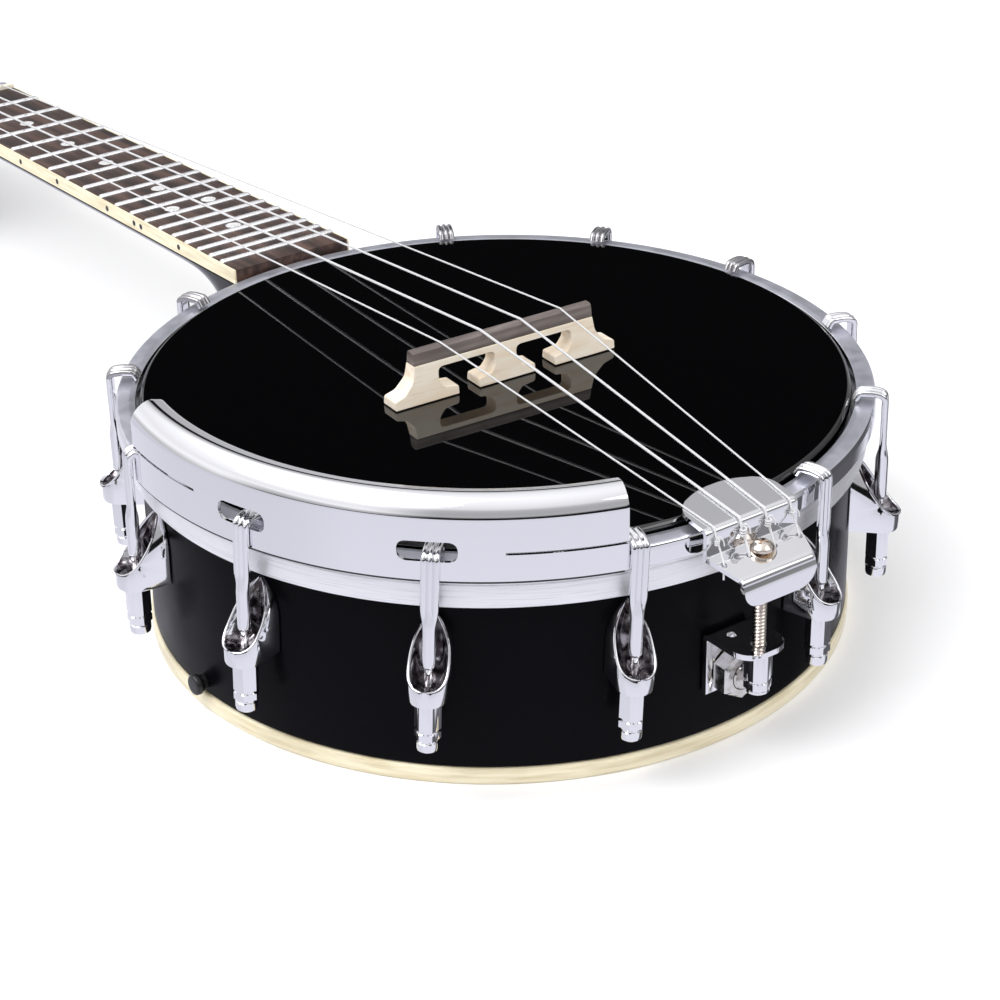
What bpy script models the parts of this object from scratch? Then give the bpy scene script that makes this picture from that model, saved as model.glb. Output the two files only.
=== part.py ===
"""Four-string banjolele: closed-back pot, tension hardware, neck, strings and geared tuners.

Frame: metres, +Z up through the head, origin at the centre of the pot's flat back.
The neck runs along +Y, the tailpiece is at -Y and the armrest is on the -X side.
Angles around the pot are measured from the tailpiece, positive towards +X.
"""

import math

import bmesh
import bpy
from mathutils import Matrix, Vector

# ---- driving dimensions ----------------------------------------------------------------
gap = 0.0003                    # air between neighbouring pieces
bore_clearance = 0.0004         # extra radius of a hole around a rod or a shaft
beyond = 0.005                  # how far a cutter reaches past what it cuts
round_steps = 60                # facets around the pot
sharp_edge = math.radians(35)

scale_length = 0.345            # string length from bridge to nut
fret_count = 18
bridge_y = -0.0031
nut_y = bridge_y + scale_length

wall_radius = 0.1030            # outside of the pot's wall
wall_inner_radius = 0.0930
collar_radius = 0.1012          # the turned-down top that carries the head
collar_height = 0.0554
binding_radius = 0.1037
binding_height = 0.0048
back_thickness = 0.0040

head_top = 0.0722
head_thickness = 0.0004
head_skirt_radius = 0.1019

flesh_hoop_radius = 0.1068
flesh_hoop_bottom = 0.0560
flesh_hoop_top = 0.0642
tension_hoop_radius = 0.1088
tension_hoop_inner = 0.1029
tension_hoop_top = 0.0708

hook_count_side = 6             # hooks on each side of the strings
hook_pattern_turn = math.radians(-0.9)
first_hook_angle = math.radians(16.4)
hook_spacing = math.radians(27.65)
hook_radius = 0.1114            # from the pot's axis to the middle of a hook's rod
hook_strap_width = 0.0050
hook_strap_thickness = 0.0017
hook_strap_bottom = 0.0560
rod_radius = 0.00155
hook_nut_bottom = 0.0158
hook_nut_radius = 0.0034

shoe_bottom = 0.0280
shoe_rim = 0.0365               # height of the rim at the shoe's front
shoe_top = 0.0540
shoe_half_width = 0.0051
shoe_front = 0.1176

armrest_radius = 0.1102
armrest_thickness = 0.0010
armrest_bottom = 0.0658
armrest_shoulder = 0.0828
armrest_crown = 0.0884
armrest_start = math.radians(-18.9)
armrest_end = math.radians(-98.6)
armrest_steps = 16
hook_slot_low = 0.0712
hook_slot_high = 0.0769
hook_slot_half = 0.0050         # from a slot's middle to where its round ends start
clip_slit_half = 0.0165
clip_slit_height = 0.0738
clip_slit_width = 0.0014

tail_half_width = 0.0154
tail_sheet = 0.0013
tail_front = -0.1119            # the web between the plate above and the tray below
tail_flange_bottom = 0.0538
tail_flange_half_width = 0.0123
tail_flange_corner = 0.0060
string_hole_radius = 0.0011
tail_screw_y = -0.1164
tail_screw_radius = 0.0018
tail_screw_head_radius = 0.0035
tail_screw_head_bottom = 0.0659
tail_screw_head_top = 0.0677
tail_screw_bottom = 0.0236
screw_hole_radius = 0.0023
bracket_half_width = 0.0080
bracket_sheet = 0.0016
bracket_top = 0.0368
bracket_bottom = 0.0183
bracket_reach = 0.1212
bracket_corner = 0.0062
tail_nut_bottom = 0.0222
tail_nut_radius = 0.0037
rod_nut_across_corners = 0.0148
rod_nut_thickness = 0.0062
coordinator_height = 0.0245
coordinator_radius = 0.0040
coordinator_start_y = -0.1119
strap_button_angle = math.radians(-88.5)
strap_button_height = 0.0085
strap_button_length = 0.0040

fretboard_end_y = 0.1096
fretboard_height = 0.0728       # top of the fretboard where neck_frame stands
neck_frame_y = 0.1160
neck_fall = 0.045               # how far the neck falls away per metre
fretboard_thickness = 0.0048
fretboard_half_width = 0.0213
nut_half_width = 0.0180
side_binding = 0.0015
headstock_angle = math.radians(12)
headstock_length = 0.118
headstock_thickness = 0.0130
headstock_half_width = 0.0290
neck_bottom_gap = fretboard_thickness + gap
nut_length = 0.0050
nut_crown = 0.0013

bridge_height = 0.0158
bridge_cap_height = 0.0045
bridge_half_length = 0.0372
bridge_turn = math.radians(-3.2)
bridge_spacing = 0.01354
nut_spacing = 0.0087
tail_spacing = 0.0085
string_radii = (0.00030, 0.00045, 0.00040, 0.00030)

tuner_places = ((-0.0150, 0.036), (-0.0150, 0.076), (0.0150, 0.076), (0.0150, 0.036))
post_radius = 0.0030
post_waist = 0.0022             # radius where the string winds on
post_string_height = 0.0074
housing_depth = 0.0090
housing_half_width = 0.0060
housing_half_length = 0.0080
button_shaft_radius = 0.0015
button_reach = 0.0240           # from the post's axis to the knob

# ---- scene and collections -------------------------------------------------------------
for leftover in list(bpy.data.objects):
    bpy.data.objects.remove(leftover, do_unlink=True)

parts = bpy.data.collections.new("banjolele")
cutters = bpy.data.collections.new("cutters")
bpy.context.scene.collection.children.link(parts)
bpy.context.scene.collection.children.link(cutters)


def finish_material(name, colour, roughness, metallic):
    made = bpy.data.materials.new(name)
    made.use_nodes = True
    shader = made.node_tree.nodes["Principled BSDF"]
    shader.inputs["Base Color"].default_value = (*colour, 1.0)
    shader.inputs["Roughness"].default_value = roughness
    shader.inputs["Metallic"].default_value = metallic
    return made


finishes = {
    "chrome": ((0.80, 0.80, 0.84), 0.08, 1.0),
    "brushed_aluminium": ((0.78, 0.78, 0.80), 0.30, 1.0),
    "nickel": ((0.72, 0.66, 0.60), 0.18, 1.0),
    "zinc": ((0.66, 0.64, 0.60), 0.28, 1.0),
    "black_lacquer": ((0.012, 0.012, 0.014), 0.22, 0.0),
    "black_film": ((0.004, 0.004, 0.004), 0.05, 0.0),
    "cream_binding": ((0.80, 0.72, 0.50), 0.35, 0.0),
    "maple": ((0.80, 0.66, 0.46), 0.50, 0.0),
    "ebony": ((0.16, 0.13, 0.12), 0.45, 0.0),
    "rosewood": ((0.10, 0.055, 0.040), 0.50, 0.0),
    "bone": ((0.86, 0.82, 0.72), 0.35, 0.0),
    "nylon": ((0.80, 0.80, 0.80), 0.25, 0.0),
    "black_plastic": ((0.02, 0.02, 0.02), 0.40, 0.0),
}


def dress(thing, finish):
    """Gives an object its own material and smooth shading broken at its sharp edges."""
    thing.data.materials.clear()
    thing.data.materials.append(finish_material(thing.name + "_" + finish, *finishes[finish]))
    if thing.type == "MESH":
        thing.data.shade_smooth()
        thing.data.set_sharp_from_angle(angle=sharp_edge)
    return thing


# ---- building blocks -------------------------------------------------------------------
def place(mesh, name, home=None):
    thing = bpy.data.objects.new(name, mesh)
    (home or parts).objects.link(thing)
    return thing


def mesh_from(name, builder, home=None):
    """Makes an object from a function that fills a bmesh."""
    grid = bmesh.new()
    builder(grid)
    mesh = bpy.data.meshes.new(name)
    grid.to_mesh(mesh)
    grid.free()
    return place(mesh, name, home)


def box(name, low, high, home=None):
    low, high = Vector(low), Vector(high)
    middle, size = (low + high) / 2, high - low
    shape = Matrix.Translation(middle) @ Matrix.Diagonal((*size, 1.0))
    return mesh_from(name, lambda grid: bmesh.ops.create_cube(grid, size=1.0, matrix=shape), home)


def cylinder(name, radius, start, end, sides=16, end_radius=None, home=None):
    start, end = Vector(start), Vector(end)
    along = end - start
    turn = along.to_track_quat("Z", "Y").to_matrix().to_4x4()
    pose = Matrix.Translation((start + end) / 2) @ turn
    far = radius if end_radius is None else end_radius

    def fill(grid):
        bmesh.ops.create_cone(
            grid, cap_ends=True, segments=sides, radius1=radius, radius2=far,
            depth=along.length, matrix=pose)

    return mesh_from(name, fill, home)


def turned(name, profile, closed=True, steps=round_steps, angle=math.tau, home=None):
    """Turns a profile of (radius, height) points about Z; it runs down its outer side."""
    mesh = bpy.data.meshes.new(name)
    count = len(profile)
    edges = [(i, i + 1) for i in range(count - 1)]
    if closed:
        edges.append((count - 1, 0))
    mesh.from_pydata([(r, 0.0, z) for r, z in profile], edges, [])
    thing = place(mesh, name, home)
    screw = thing.modifiers.new("turn", "SCREW")
    screw.axis = "Z"
    screw.angle = angle
    screw.steps = screw.render_steps = steps
    screw.use_merge_vertices = angle == math.tau
    screw.merge_threshold = 0.0001
    return thing


def baked(thing, matrix=None):
    """Returns the object's evaluated shape as a welded mesh and removes the object."""
    bpy.context.view_layer.update()
    depsgraph = bpy.context.evaluated_depsgraph_get()
    mesh = bpy.data.meshes.new_from_object(thing.evaluated_get(depsgraph))
    mesh.transform(thing.matrix_world if matrix is None else matrix @ thing.matrix_world)
    grid = bmesh.new()
    grid.from_mesh(mesh)
    bmesh.ops.remove_doubles(grid, verts=grid.verts, dist=0.000001)
    bmesh.ops.recalc_face_normals(grid, faces=grid.faces)
    grid.to_mesh(mesh)
    grid.free()
    mesh.materials.clear()
    bpy.data.objects.remove(thing, do_unlink=True)
    return mesh


def slab(name, outline, thickness, pose=None, home=None):
    """A flat outline, drawn in local XY and thickened both ways along local Z."""
    curve = bpy.data.curves.new(name, "CURVE")
    curve.dimensions = "2D"
    curve.fill_mode = "BOTH"
    curve.extrude = thickness / 2
    curve.resolution_u = 1
    spline = curve.splines.new("POLY")
    spline.points.add(len(outline) - 1)
    for point, (x, y) in zip(spline.points, outline):
        point.co = (x, y, 0.0, 1.0)
    spline.use_cyclic_u = True
    drawn = place(curve, name + "_outline", home)
    return place(baked(drawn, pose), name, home)


def combine(thing, other, operation):
    """Joins, cuts or intersects thing with other, and keeps only the result."""
    step = thing.modifiers.new(other.name, "BOOLEAN")
    step.operation = operation
    step.solver = "EXACT"
    step.object = other
    name, home = thing.name, thing.users_collection[0]
    thing.name = name + "_raw"
    mesh = baked(thing)
    bpy.data.objects.remove(other, do_unlink=True)
    return place(mesh, name, home)


def drill(thing, cutter):
    """Cuts with a cutter that stays in the scene beside the part."""
    cutter.hide_render = True
    cutter.display_type = "WIRE"
    step = thing.modifiers.new(cutter.name, "BOOLEAN")
    step.operation = "DIFFERENCE"
    step.solver = "EXACT"
    step.object = cutter
    return thing


def wire(name, path, radius):
    """A round wire along straight stretches between points."""
    curve = bpy.data.curves.new(name, "CURVE")
    curve.dimensions = "3D"
    curve.bevel_depth = radius
    curve.bevel_resolution = 1
    curve.use_fill_caps = True
    spline = curve.splines.new("POLY")
    spline.points.add(len(path) - 1)
    for point, place_at in zip(spline.points, path):
        point.co = (*place_at, 1.0)
    return place(curve, name)


def arc(cx, cy, rx, ry, start, end, steps):
    """Points on an ellipse from start to end, in degrees, both ends included."""
    points = []
    for i in range(steps + 1):
        a = math.radians(start + (end - start) * i / steps)
        points.append((cx + rx * math.cos(a), cy + ry * math.sin(a)))
    return points


def ribbon(path, thickness):
    """The outline of a strip of even thickness along a path, with mitred bends."""
    left, right = [], []
    for i, point in enumerate(path):
        into = Vector(path[i]) - Vector(path[max(i - 1, 0)])
        out = Vector(path[min(i + 1, len(path) - 1)]) - Vector(path[i])
        into = (into if into.length else out).normalized()
        out = (out if out.length else into).normalized()
        side = Vector((-into.y - out.y, into.x + out.x)).normalized()
        side *= thickness / 2 / max(side.dot(Vector((-out.y, out.x))), 0.5)
        left.append(tuple(Vector(point) + side))
        right.append(tuple(Vector(point) - side))
    return left + right[::-1]


# Local XY of an outline becomes radius and height in the plane of the tailpiece.
radial_plane = Matrix(((0, 0, -1, 0), (-1, 0, 0, 0), (0, 1, 0, 0), (0, 0, 0, 1)))
# Local XY of an outline becomes X and Z, seen from the tailpiece.
front_plane = Matrix.Rotation(math.pi / 2, 4, "X")


def around(angle, radius, height):
    return Vector((radius * math.sin(angle), -radius * math.cos(angle), height))


# ---- pot -------------------------------------------------------------------------------
def make_pot():
    bottom = binding_height + gap
    top = head_top - head_thickness - gap
    rim = turned("rim", [
        (wall_inner_radius, top), (collar_radius, top), (collar_radius, collar_height),
        (wall_radius, collar_height), (wall_radius, bottom), (wall_inner_radius, bottom)])
    reach = wall_radius + beyond
    bore = cylinder(
        "rim_bore", coordinator_radius + bore_clearance, (0, -reach, coordinator_height),
        (0, reach, coordinator_height), home=cutters)
    dress(drill(rim, bore), "black_lacquer")

    plate_radius = binding_radius - 0.0020
    plate = cylinder("back_plate", plate_radius, (0, 0, 0), (0, 0, back_thickness), round_steps)
    dress(plate, "black_lacquer")

    inner = plate_radius + gap
    edge = 0.0008
    dress(turned("back_binding", [
        (inner, binding_height), (binding_radius - edge, binding_height),
        (binding_radius, binding_height - edge), (binding_radius, edge),
        (binding_radius - edge, 0.0), (inner, 0.0)]), "cream_binding")

    skirt_bottom = flesh_hoop_top + gap
    inside = head_skirt_radius - head_thickness
    head = turned("head", [
        (0.0, head_top), (head_skirt_radius - edge, head_top),
        (head_skirt_radius, head_top - edge), (head_skirt_radius, skirt_bottom),
        (inside, skirt_bottom), (inside, head_top - edge - head_thickness / 2),
        (inside - edge / 2, head_top - head_thickness), (0.0, head_top - head_thickness)],
        closed=False)
    dress(head, "black_film")


def make_hoops():
    inner = collar_radius + 2 * gap
    dress(turned("flesh_hoop", [
        (inner, flesh_hoop_top), (flesh_hoop_radius, flesh_hoop_top),
        (flesh_hoop_radius, flesh_hoop_bottom), (inner, flesh_hoop_bottom)]),
        "brushed_aluminium")
    bottom = flesh_hoop_top + gap
    outer, top = tension_hoop_radius, tension_hoop_top
    dress(turned("tension_hoop", [
        (tension_hoop_inner + 0.0006, top), (outer - 0.0018, top), (outer - 0.0004, top - 0.0009),
        (outer, top - 0.0026), (outer - 0.0003, top - 0.0048), (outer - 0.0012, bottom),
        (tension_hoop_inner, bottom), (tension_hoop_inner, top - 0.0006)]), "chrome")


# ---- hooks and shoes -------------------------------------------------------------------
def hook_angles():
    """Angles of the hooks, nearest the tailpiece first, left side and then right."""
    angles = []
    for side in (-1, 1):
        for k in range(hook_count_side):
            angles.append(hook_pattern_turn + side * (first_hook_angle + hook_spacing * k))
    return angles


def hook_mesh():
    tip = tension_hoop_inner + 0.0001
    seat = tension_hoop_top
    path = [
        (tip, seat + 0.0011), (tip + 0.0009, seat + 0.0023), (tip + 0.0026, seat + 0.0030),
        (tip + 0.0052, seat + 0.0031), (hook_radius - 0.0014, seat + 0.0027),
        (hook_radius - 0.0004, seat + 0.0017), (hook_radius, seat),
        (hook_radius, hook_strap_bottom)]
    hook = slab("hook", ribbon(path, hook_strap_thickness), hook_strap_width, radial_plane)
    nut_top = shoe_bottom - gap
    rod = cylinder(
        "rod", rod_radius, (0, -hook_radius, nut_top - 0.001),
        (0, -hook_radius, hook_strap_bottom + 0.002), 10, home=cutters)
    hook = combine(hook, rod, "UNION")
    nut = cylinder(
        "nut", hook_nut_radius, (0, -hook_radius, hook_nut_bottom),
        (0, -hook_radius, nut_top), 6, home=cutters)
    hook = combine(hook, nut, "UNION")
    return baked(hook)


def shoe_mesh():
    back = wall_radius + gap
    front_centre = shoe_front - shoe_half_width
    side = [
        (back, shoe_bottom), (shoe_front + 0.001, shoe_bottom), (shoe_front + 0.001, shoe_rim),
        (shoe_front, shoe_rim), (back + 0.0012, shoe_top), (back, shoe_top)]
    shoe = slab("shoe", side, 0.020, radial_plane)
    half = shoe_half_width
    plan = [(-half, -back + 0.002), (-half, -front_centre)]
    plan += arc(0, -front_centre, half, half, 180, 360, 8)
    plan += [(half, -front_centre), (half, -back + 0.002)]
    column = slab("plan", plan, 0.2, home=cutters)
    shoe = combine(shoe, column, "INTERSECT")
    shoulder = shoe_top - 0.012
    drop = [(-half - 0.001, shoe_bottom - 0.001), (half + 0.001, shoe_bottom - 0.001)]
    drop += arc(0, shoulder, half, shoe_top - shoulder, 0, 180, 8)
    face = slab("drop", drop, 0.3, front_plane, home=cutters)
    shoe = combine(shoe, face, "INTERSECT")
    wall = 0.0012
    floor = shoe_rim - 0.0025
    pocket_plan = [(-half + wall, -back - 0.004), (-half + wall, -front_centre)]
    pocket_plan += arc(0, -front_centre, half - wall, half - wall, 180, 360, 8)
    pocket_plan += [(half - wall, -front_centre), (half - wall, -back - 0.004)]
    up = Matrix.Translation((0, 0, floor + 0.025))
    pocket = slab("pocket", pocket_plan[:1] + pocket_plan[2:-2] + pocket_plan[-1:], 0.05, up,
                  home=cutters)
    shoe = combine(shoe, pocket, "DIFFERENCE")
    bore = cylinder(
        "bore", rod_radius + 0.0005, (0, -hook_radius, 0.0), (0, -hook_radius, 0.1), 10,
        home=cutters)
    return baked(combine(shoe, bore, "DIFFERENCE"))


def make_hooks():
    hook, shoe = hook_mesh(), shoe_mesh()
    for number, angle in enumerate(hook_angles(), start=1):
        for kind, mesh in (("hook", hook), ("shoe", shoe)):
            piece = place(mesh.copy(), f"{kind}_{number}")
            piece.rotation_euler.z = angle
            dress(piece, "chrome")


# ---- armrest ---------------------------------------------------------------------------
def make_armrest():
    crown, outside = armrest_crown, armrest_radius
    profile = [
        (outside - 0.0104, crown - 0.0023), (outside - 0.0082, crown - 0.0003),
        (outside - 0.0054, crown), (outside - 0.0026, crown - 0.0011),
        (outside - 0.0006, crown - 0.0032), (outside, armrest_shoulder), (outside, armrest_bottom)]
    sweep = armrest_start - armrest_end
    rest = turned("armrest", profile, closed=False, steps=armrest_steps, angle=sweep)
    rest.rotation_euler.z = armrest_end - math.pi / 2
    thick = rest.modifiers.new("thickness", "SOLIDIFY")
    thick.thickness = armrest_thickness
    thick.offset = -1.0
    rest = place(baked(rest), "armrest")

    centre = armrest_radius - armrest_thickness / 2
    middle = (hook_slot_low + hook_slot_high) / 2
    end = (hook_slot_high - hook_slot_low) / 2
    half = hook_slot_half
    outline = arc(half, 0, end, end, -90, 90, 6) + arc(-half, 0, end, end, 90, 270, 6)
    for number, angle in enumerate(hook_angles()[1:3], start=1):
        pose = Matrix.Rotation(angle, 4, "Z") @ Matrix.Translation((0, -centre, middle)) @ front_plane
        drill(rest, slab(f"hook_slot_{number}", outline, 2 * beyond, pose, home=cutters))
    slit_angle = clip_slit_half / centre
    half, height, wide = clip_slit_half + gap, clip_slit_height, clip_slit_width / 2
    for number, angle in enumerate((armrest_start - slit_angle, armrest_end + slit_angle), start=1):
        slit = box(f"clip_slit_{number}", (-half, -centre - beyond, height - wide),
                   (half, -centre + beyond, height + wide), home=cutters)
        slit.rotation_euler.z = angle
        drill(rest, slit)
    dress(rest, "chrome")


# ---- tailpiece and coordinator ---------------------------------------------------------
def make_tailpiece():
    sheet, half, web = tail_sheet, tail_half_width, -tail_front
    tray = 0.0629                   # height of the tray where the strings pass through it
    fold = [
        (0.0950, 0.0752), (web - 0.0013, 0.0730), (web, 0.0717), (web, tray + 0.0036),
        (web + 0.0011, tray + 0.0015), (0.1212, tray - 0.0013), (0.1233, tray - 0.0032),
        (0.1236, tail_flange_bottom - 0.0008)]
    tail = slab("tailpiece", ribbon(fold, sheet), 2 * half + beyond, radial_plane)
    side, corner, bottom = tail_flange_half_width, tail_flange_corner, tail_flange_bottom
    inset = 0.0001                  # keeps the two trimming shapes from sharing a face
    plan = arc(0, -0.1050, half, 0.0094, 0, 180, 12)
    plan += [(-half, -0.1165), (-side + inset, -0.1225), (-side + inset, -0.1260)]
    plan += [(side - inset, -0.1260), (side - inset, -0.1225), (half, -0.1165)]
    tail = combine(tail, slab("plan", plan, 0.3, home=cutters), "INTERSECT")
    shoulder, above = tray - 0.0017, head_top + 0.018
    front = [(-half - beyond, above), (-half - beyond, shoulder), (-side, shoulder)]
    front += arc(-side + corner, bottom + corner, corner, corner, 180, 270, 4)
    front += arc(side - corner, bottom + corner, corner, corner, 270, 360, 4)
    front += [(side, shoulder), (half + beyond, shoulder), (half + beyond, above)]
    tail = combine(tail, slab("front", front, 0.4, front_plane, home=cutters), "INTERSECT")
    low, high = tray - beyond, tray + beyond
    for number in range(4):
        x = (number - 1.5) * tail_spacing
        drill(tail, cylinder(f"string_hole_{number + 1}", string_hole_radius,
                             (x, tail_screw_y, low), (x, tail_screw_y, high), 10, home=cutters))
    drill(tail, cylinder("tail_screw_hole", screw_hole_radius, (0, tail_screw_y, low),
                         (0, tail_screw_y, high), 12, home=cutters))
    dress(tail, "chrome")


def make_tail_bracket():
    half, sheet, top = bracket_half_width, bracket_sheet, bracket_top
    back = wall_radius + gap
    bracket = box("tail_bracket", (-half, -back - sheet, bracket_bottom),
                  (half, -back, top - sheet / 2))
    reach, corner = bracket_reach, bracket_corner
    outline = [(half, -back), (-half, -back)]
    outline += arc(-half + corner, -reach + corner, corner, corner, 180, 270, 5)
    outline += arc(half - corner, -reach + corner, corner, corner, 270, 360, 5)
    up = Matrix.Translation((0, 0, top - sheet / 2))
    tab = slab("tab", outline, sheet, up, home=cutters)
    bracket = combine(bracket, tab, "UNION")
    low, high = top - beyond, top + beyond
    drill(bracket, cylinder("tab_screw_hole", screw_hole_radius, (0, tail_screw_y, low),
                            (0, tail_screw_y, high), 12, home=cutters))
    spare_x, spare_y, spare_radius = -0.0026, -0.1086, 0.0012
    drill(bracket, cylinder("tab_spare_hole", spare_radius, (spare_x, spare_y, low),
                            (spare_x, spare_y, high), 10, home=cutters))
    drill(bracket, cylinder("leg_rod_hole", coordinator_radius + bore_clearance,
                            (0, -back - beyond, coordinator_height),
                            (0, -back + beyond, coordinator_height), 16, home=cutters))
    dress(bracket, "chrome")

    nut_top = top - sheet - gap
    nut = cylinder("tail_nut", tail_nut_radius, (0, tail_screw_y, tail_nut_bottom),
                   (0, tail_screw_y, nut_top), 6)
    drill(nut, cylinder("tail_nut_bore", screw_hole_radius,
                        (0, tail_screw_y, tail_nut_bottom - beyond),
                        (0, tail_screw_y, nut_top + beyond), 12, home=cutters))
    dress(nut, "chrome")


def make_tail_screw():
    crown, under = tail_screw_head_top, tail_screw_head_bottom
    head, shaft, edge = tail_screw_head_radius, tail_screw_radius, 0.0006
    profile = [
        (0.0, crown), (head - 0.0015, crown), (head - 0.0004, crown - edge), (head, under + edge),
        (head, under), (shaft, under), (shaft, tail_screw_bottom), (0.0, tail_screw_bottom)]
    screw = turned("tail_screw", profile, closed=False, steps=12)
    screw.location = (0, tail_screw_y, 0)
    dress(screw, "nickel")


def make_coordinator():
    middle, hole = coordinator_height, coordinator_radius + bore_clearance
    rod = cylinder("coordinator_rod", coordinator_radius, (0, coordinator_start_y, middle),
                   (0, neck_frame_y, middle), 16)
    dress(rod, "zinc")
    near = -(wall_radius + gap + bracket_sheet + gap)
    far = near - rod_nut_thickness
    nut = cylinder("rod_nut", rod_nut_across_corners / 2, (0, far, middle), (0, near, middle), 6)
    drill(nut, cylinder("rod_nut_bore", hole, (0, far - beyond, middle), (0, near + beyond, middle),
                        16, home=cutters))
    dress(nut, "zinc")


def make_strap_button():
    start = wall_radius + gap
    inner = around(strap_button_angle, start, strap_button_height)
    outer = around(strap_button_angle, start + strap_button_length, strap_button_height)
    button = cylinder("strap_button", 0.0030, inner, outer, 12, end_radius=0.0022)
    dress(button, "black_plastic")


# ---- neck ------------------------------------------------------------------------------
neck_frame = bpy.data.objects.new("neck_frame", None)
parts.objects.link(neck_frame)
neck_frame.location = (0, neck_frame_y, fretboard_height)
neck_frame.rotation_euler.x = -math.atan(neck_fall)

headstock_frame = bpy.data.objects.new("headstock_frame", None)
parts.objects.link(headstock_frame)
headstock_frame.parent = neck_frame
nut_local = nut_y - neck_frame_y
headstock_frame.location = (0, nut_local + nut_length + 0.0012, -0.0020)
headstock_frame.rotation_euler.x = -headstock_angle
bpy.context.view_layer.update()


def board_half_width(y):
    """Half the width of the fretboard, y metres along neck_frame."""
    return fretboard_half_width + (nut_half_width - fretboard_half_width) * y / nut_local


def make_fretboard():
    start = fretboard_end_y - neck_frame_y
    end = nut_local - gap
    inner_start = start + side_binding + gap
    profile = [(inner_start, -fretboard_thickness), (end, -fretboard_thickness), (end, 0.0)]
    crown, foot, height = 0.0005, 0.0011, 0.0009
    for number in range(1, fret_count + 1):
        y = bridge_y + scale_length * 2 ** (-number / 12) - neck_frame_y
        profile += [(y + foot, 0.0), (y + crown, height), (y - crown, height), (y - foot, 0.0)]
    profile.append((inner_start, 0.0))
    along = Matrix(((0, 0, 1, 0), (1, 0, 0, 0), (0, 1, 0, 0), (0, 0, 0, 1)))
    board = slab("fretboard", profile, 0.06, along)
    inset = side_binding + gap
    a, b = board_half_width(inner_start) - inset, board_half_width(end) - inset
    plan = [(-a, inner_start - 0.01), (a, inner_start - 0.01), (b, end + 0.01), (-b, end + 0.01)]
    board = combine(board, slab("plan", plan, 0.05, home=cutters), "INTERSECT")
    board.parent = neck_frame
    dress(board, "rosewood")

    a, b = board_half_width(start), board_half_width(end)
    c, d = board_half_width(inner_start) - side_binding, board_half_width(end) - side_binding
    strip = start + side_binding
    outline = [(-a, start), (a, start), (b, end), (d, end), (c, strip), (-c, strip), (-d, end),
               (-b, end)]
    down = Matrix.Translation((0, 0, -fretboard_thickness / 2))
    binding = slab("fretboard_binding", outline, fretboard_thickness, down)
    binding.parent = neck_frame
    dress(binding, "cream_binding")


def neck_section(y, half_width, depth, squareness):
    """One ring of the neck: flat on top, a rounded underside."""
    top = -neck_bottom_gap
    ring = [Vector((half_width, y, top))]
    steps = 10                      # facets around the underside
    for i in range(1, steps):
        a = math.pi * i / steps
        x = half_width * math.copysign(abs(math.cos(a)) ** squareness, math.cos(a))
        z = top - depth * math.sin(a) ** squareness
        ring.append(Vector((x, y, z)))
    ring.append(Vector((-half_width, y, top)))
    return ring


def make_neck():
    stations = (
        (-0.016, 0.054, 0.62), (-0.004, 0.052, 0.70), (0.003, 0.041, 0.95), (0.009, 0.029, 1.25),
        (0.017, 0.020, 1.50), (0.029, 0.0160, 1.70), (0.060, 0.0150, 1.75), (0.195, 0.0135, 1.70),
        (0.216, 0.0140, 1.30), (0.234, 0.0150, 0.80))

    def loft(grid):
        rings = []
        for y, depth, squareness in stations:
            half = board_half_width(max(y, 0.0))
            rings.append([grid.verts.new(p) for p in neck_section(y, half, depth, squareness)])
        count = len(rings[0])
        for near, far in zip(rings, rings[1:]):
            for i in range(count):
                j = (i + 1) % count
                grid.faces.new((near[i], near[j], far[j], far[i]))
        grid.faces.new(rings[0][::-1])
        grid.faces.new(rings[-1])
        bmesh.ops.recalc_face_normals(grid, faces=grid.faces)

    neck = mesh_from("neck", loft)
    long, wide = headstock_length, headstock_half_width
    outline = [(-0.0182, -0.004), (0.0182, -0.004), (0.0186, 0.008)]
    outline += [(0.0250, 0.016), (wide, 0.026), (wide, 0.040), (0.0272, 0.070), (0.0262, 0.096)]
    outline += arc(0, 0.096, 0.0250, long - 0.096, 15, 165, 8)
    outline += [(-x, y) for x, y in ((0.0262, 0.096), (0.0272, 0.070), (wide, 0.040))]
    outline += [(-wide, 0.026), (-0.0250, 0.016), (-0.0186, 0.008)]
    to_neck = neck_frame.matrix_world.inverted() @ headstock_frame.matrix_world
    down = to_neck @ Matrix.Translation((0, 0, -headstock_thickness / 2))
    neck = combine(neck, slab("headstock", outline, headstock_thickness, down, cutters), "UNION")
    seat = box("nut_seat", (-wide, nut_local, -neck_bottom_gap),
               (wide, nut_local + nut_length + gap, 0.02), home=cutters)
    neck = combine(neck, seat, "DIFFERENCE")
    neck.parent = neck_frame

    drill(neck, cylinder("pot_cutter", wall_radius + gap, (0, 0, -0.02), (0, 0, 0.20),
                         round_steps, home=cutters))
    drill(neck, cylinder("hoop_cutter", tension_hoop_radius + gap, (0, 0, collar_height + gap),
                         (0, 0, 0.20), round_steps, home=cutters))
    drill(neck, cylinder("heel_bore", coordinator_radius + bore_clearance,
                         (0, wall_radius - beyond, coordinator_height),
                         (0, neck_frame_y + 0.0015, coordinator_height), 16, home=cutters))
    for number, (x, y) in enumerate(tuner_places, start=1):
        hole = cylinder(f"post_hole_{number}", post_radius + bore_clearance,
                        (x, y, -headstock_thickness - 0.017), (x, y, 0.02), 16, home=cutters)
        hole.parent = headstock_frame
        drill(neck, hole)
    dress(neck, "black_lacquer")

    seat_bottom = -fretboard_thickness
    near, far = nut_local + gap, nut_local + nut_length
    profile = [(far, seat_bottom), (far, 0.0002), (near + 0.0009, nut_crown), (near, nut_crown),
               (near, seat_bottom)]
    along = Matrix(((0, 0, 1, 0), (1, 0, 0, 0), (0, 1, 0, 0), (0, 0, 0, 1)))
    nut = slab("string_nut", profile[::-1], 2 * nut_half_width, along)
    nut.parent = neck_frame
    dress(nut, "bone")


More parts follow.
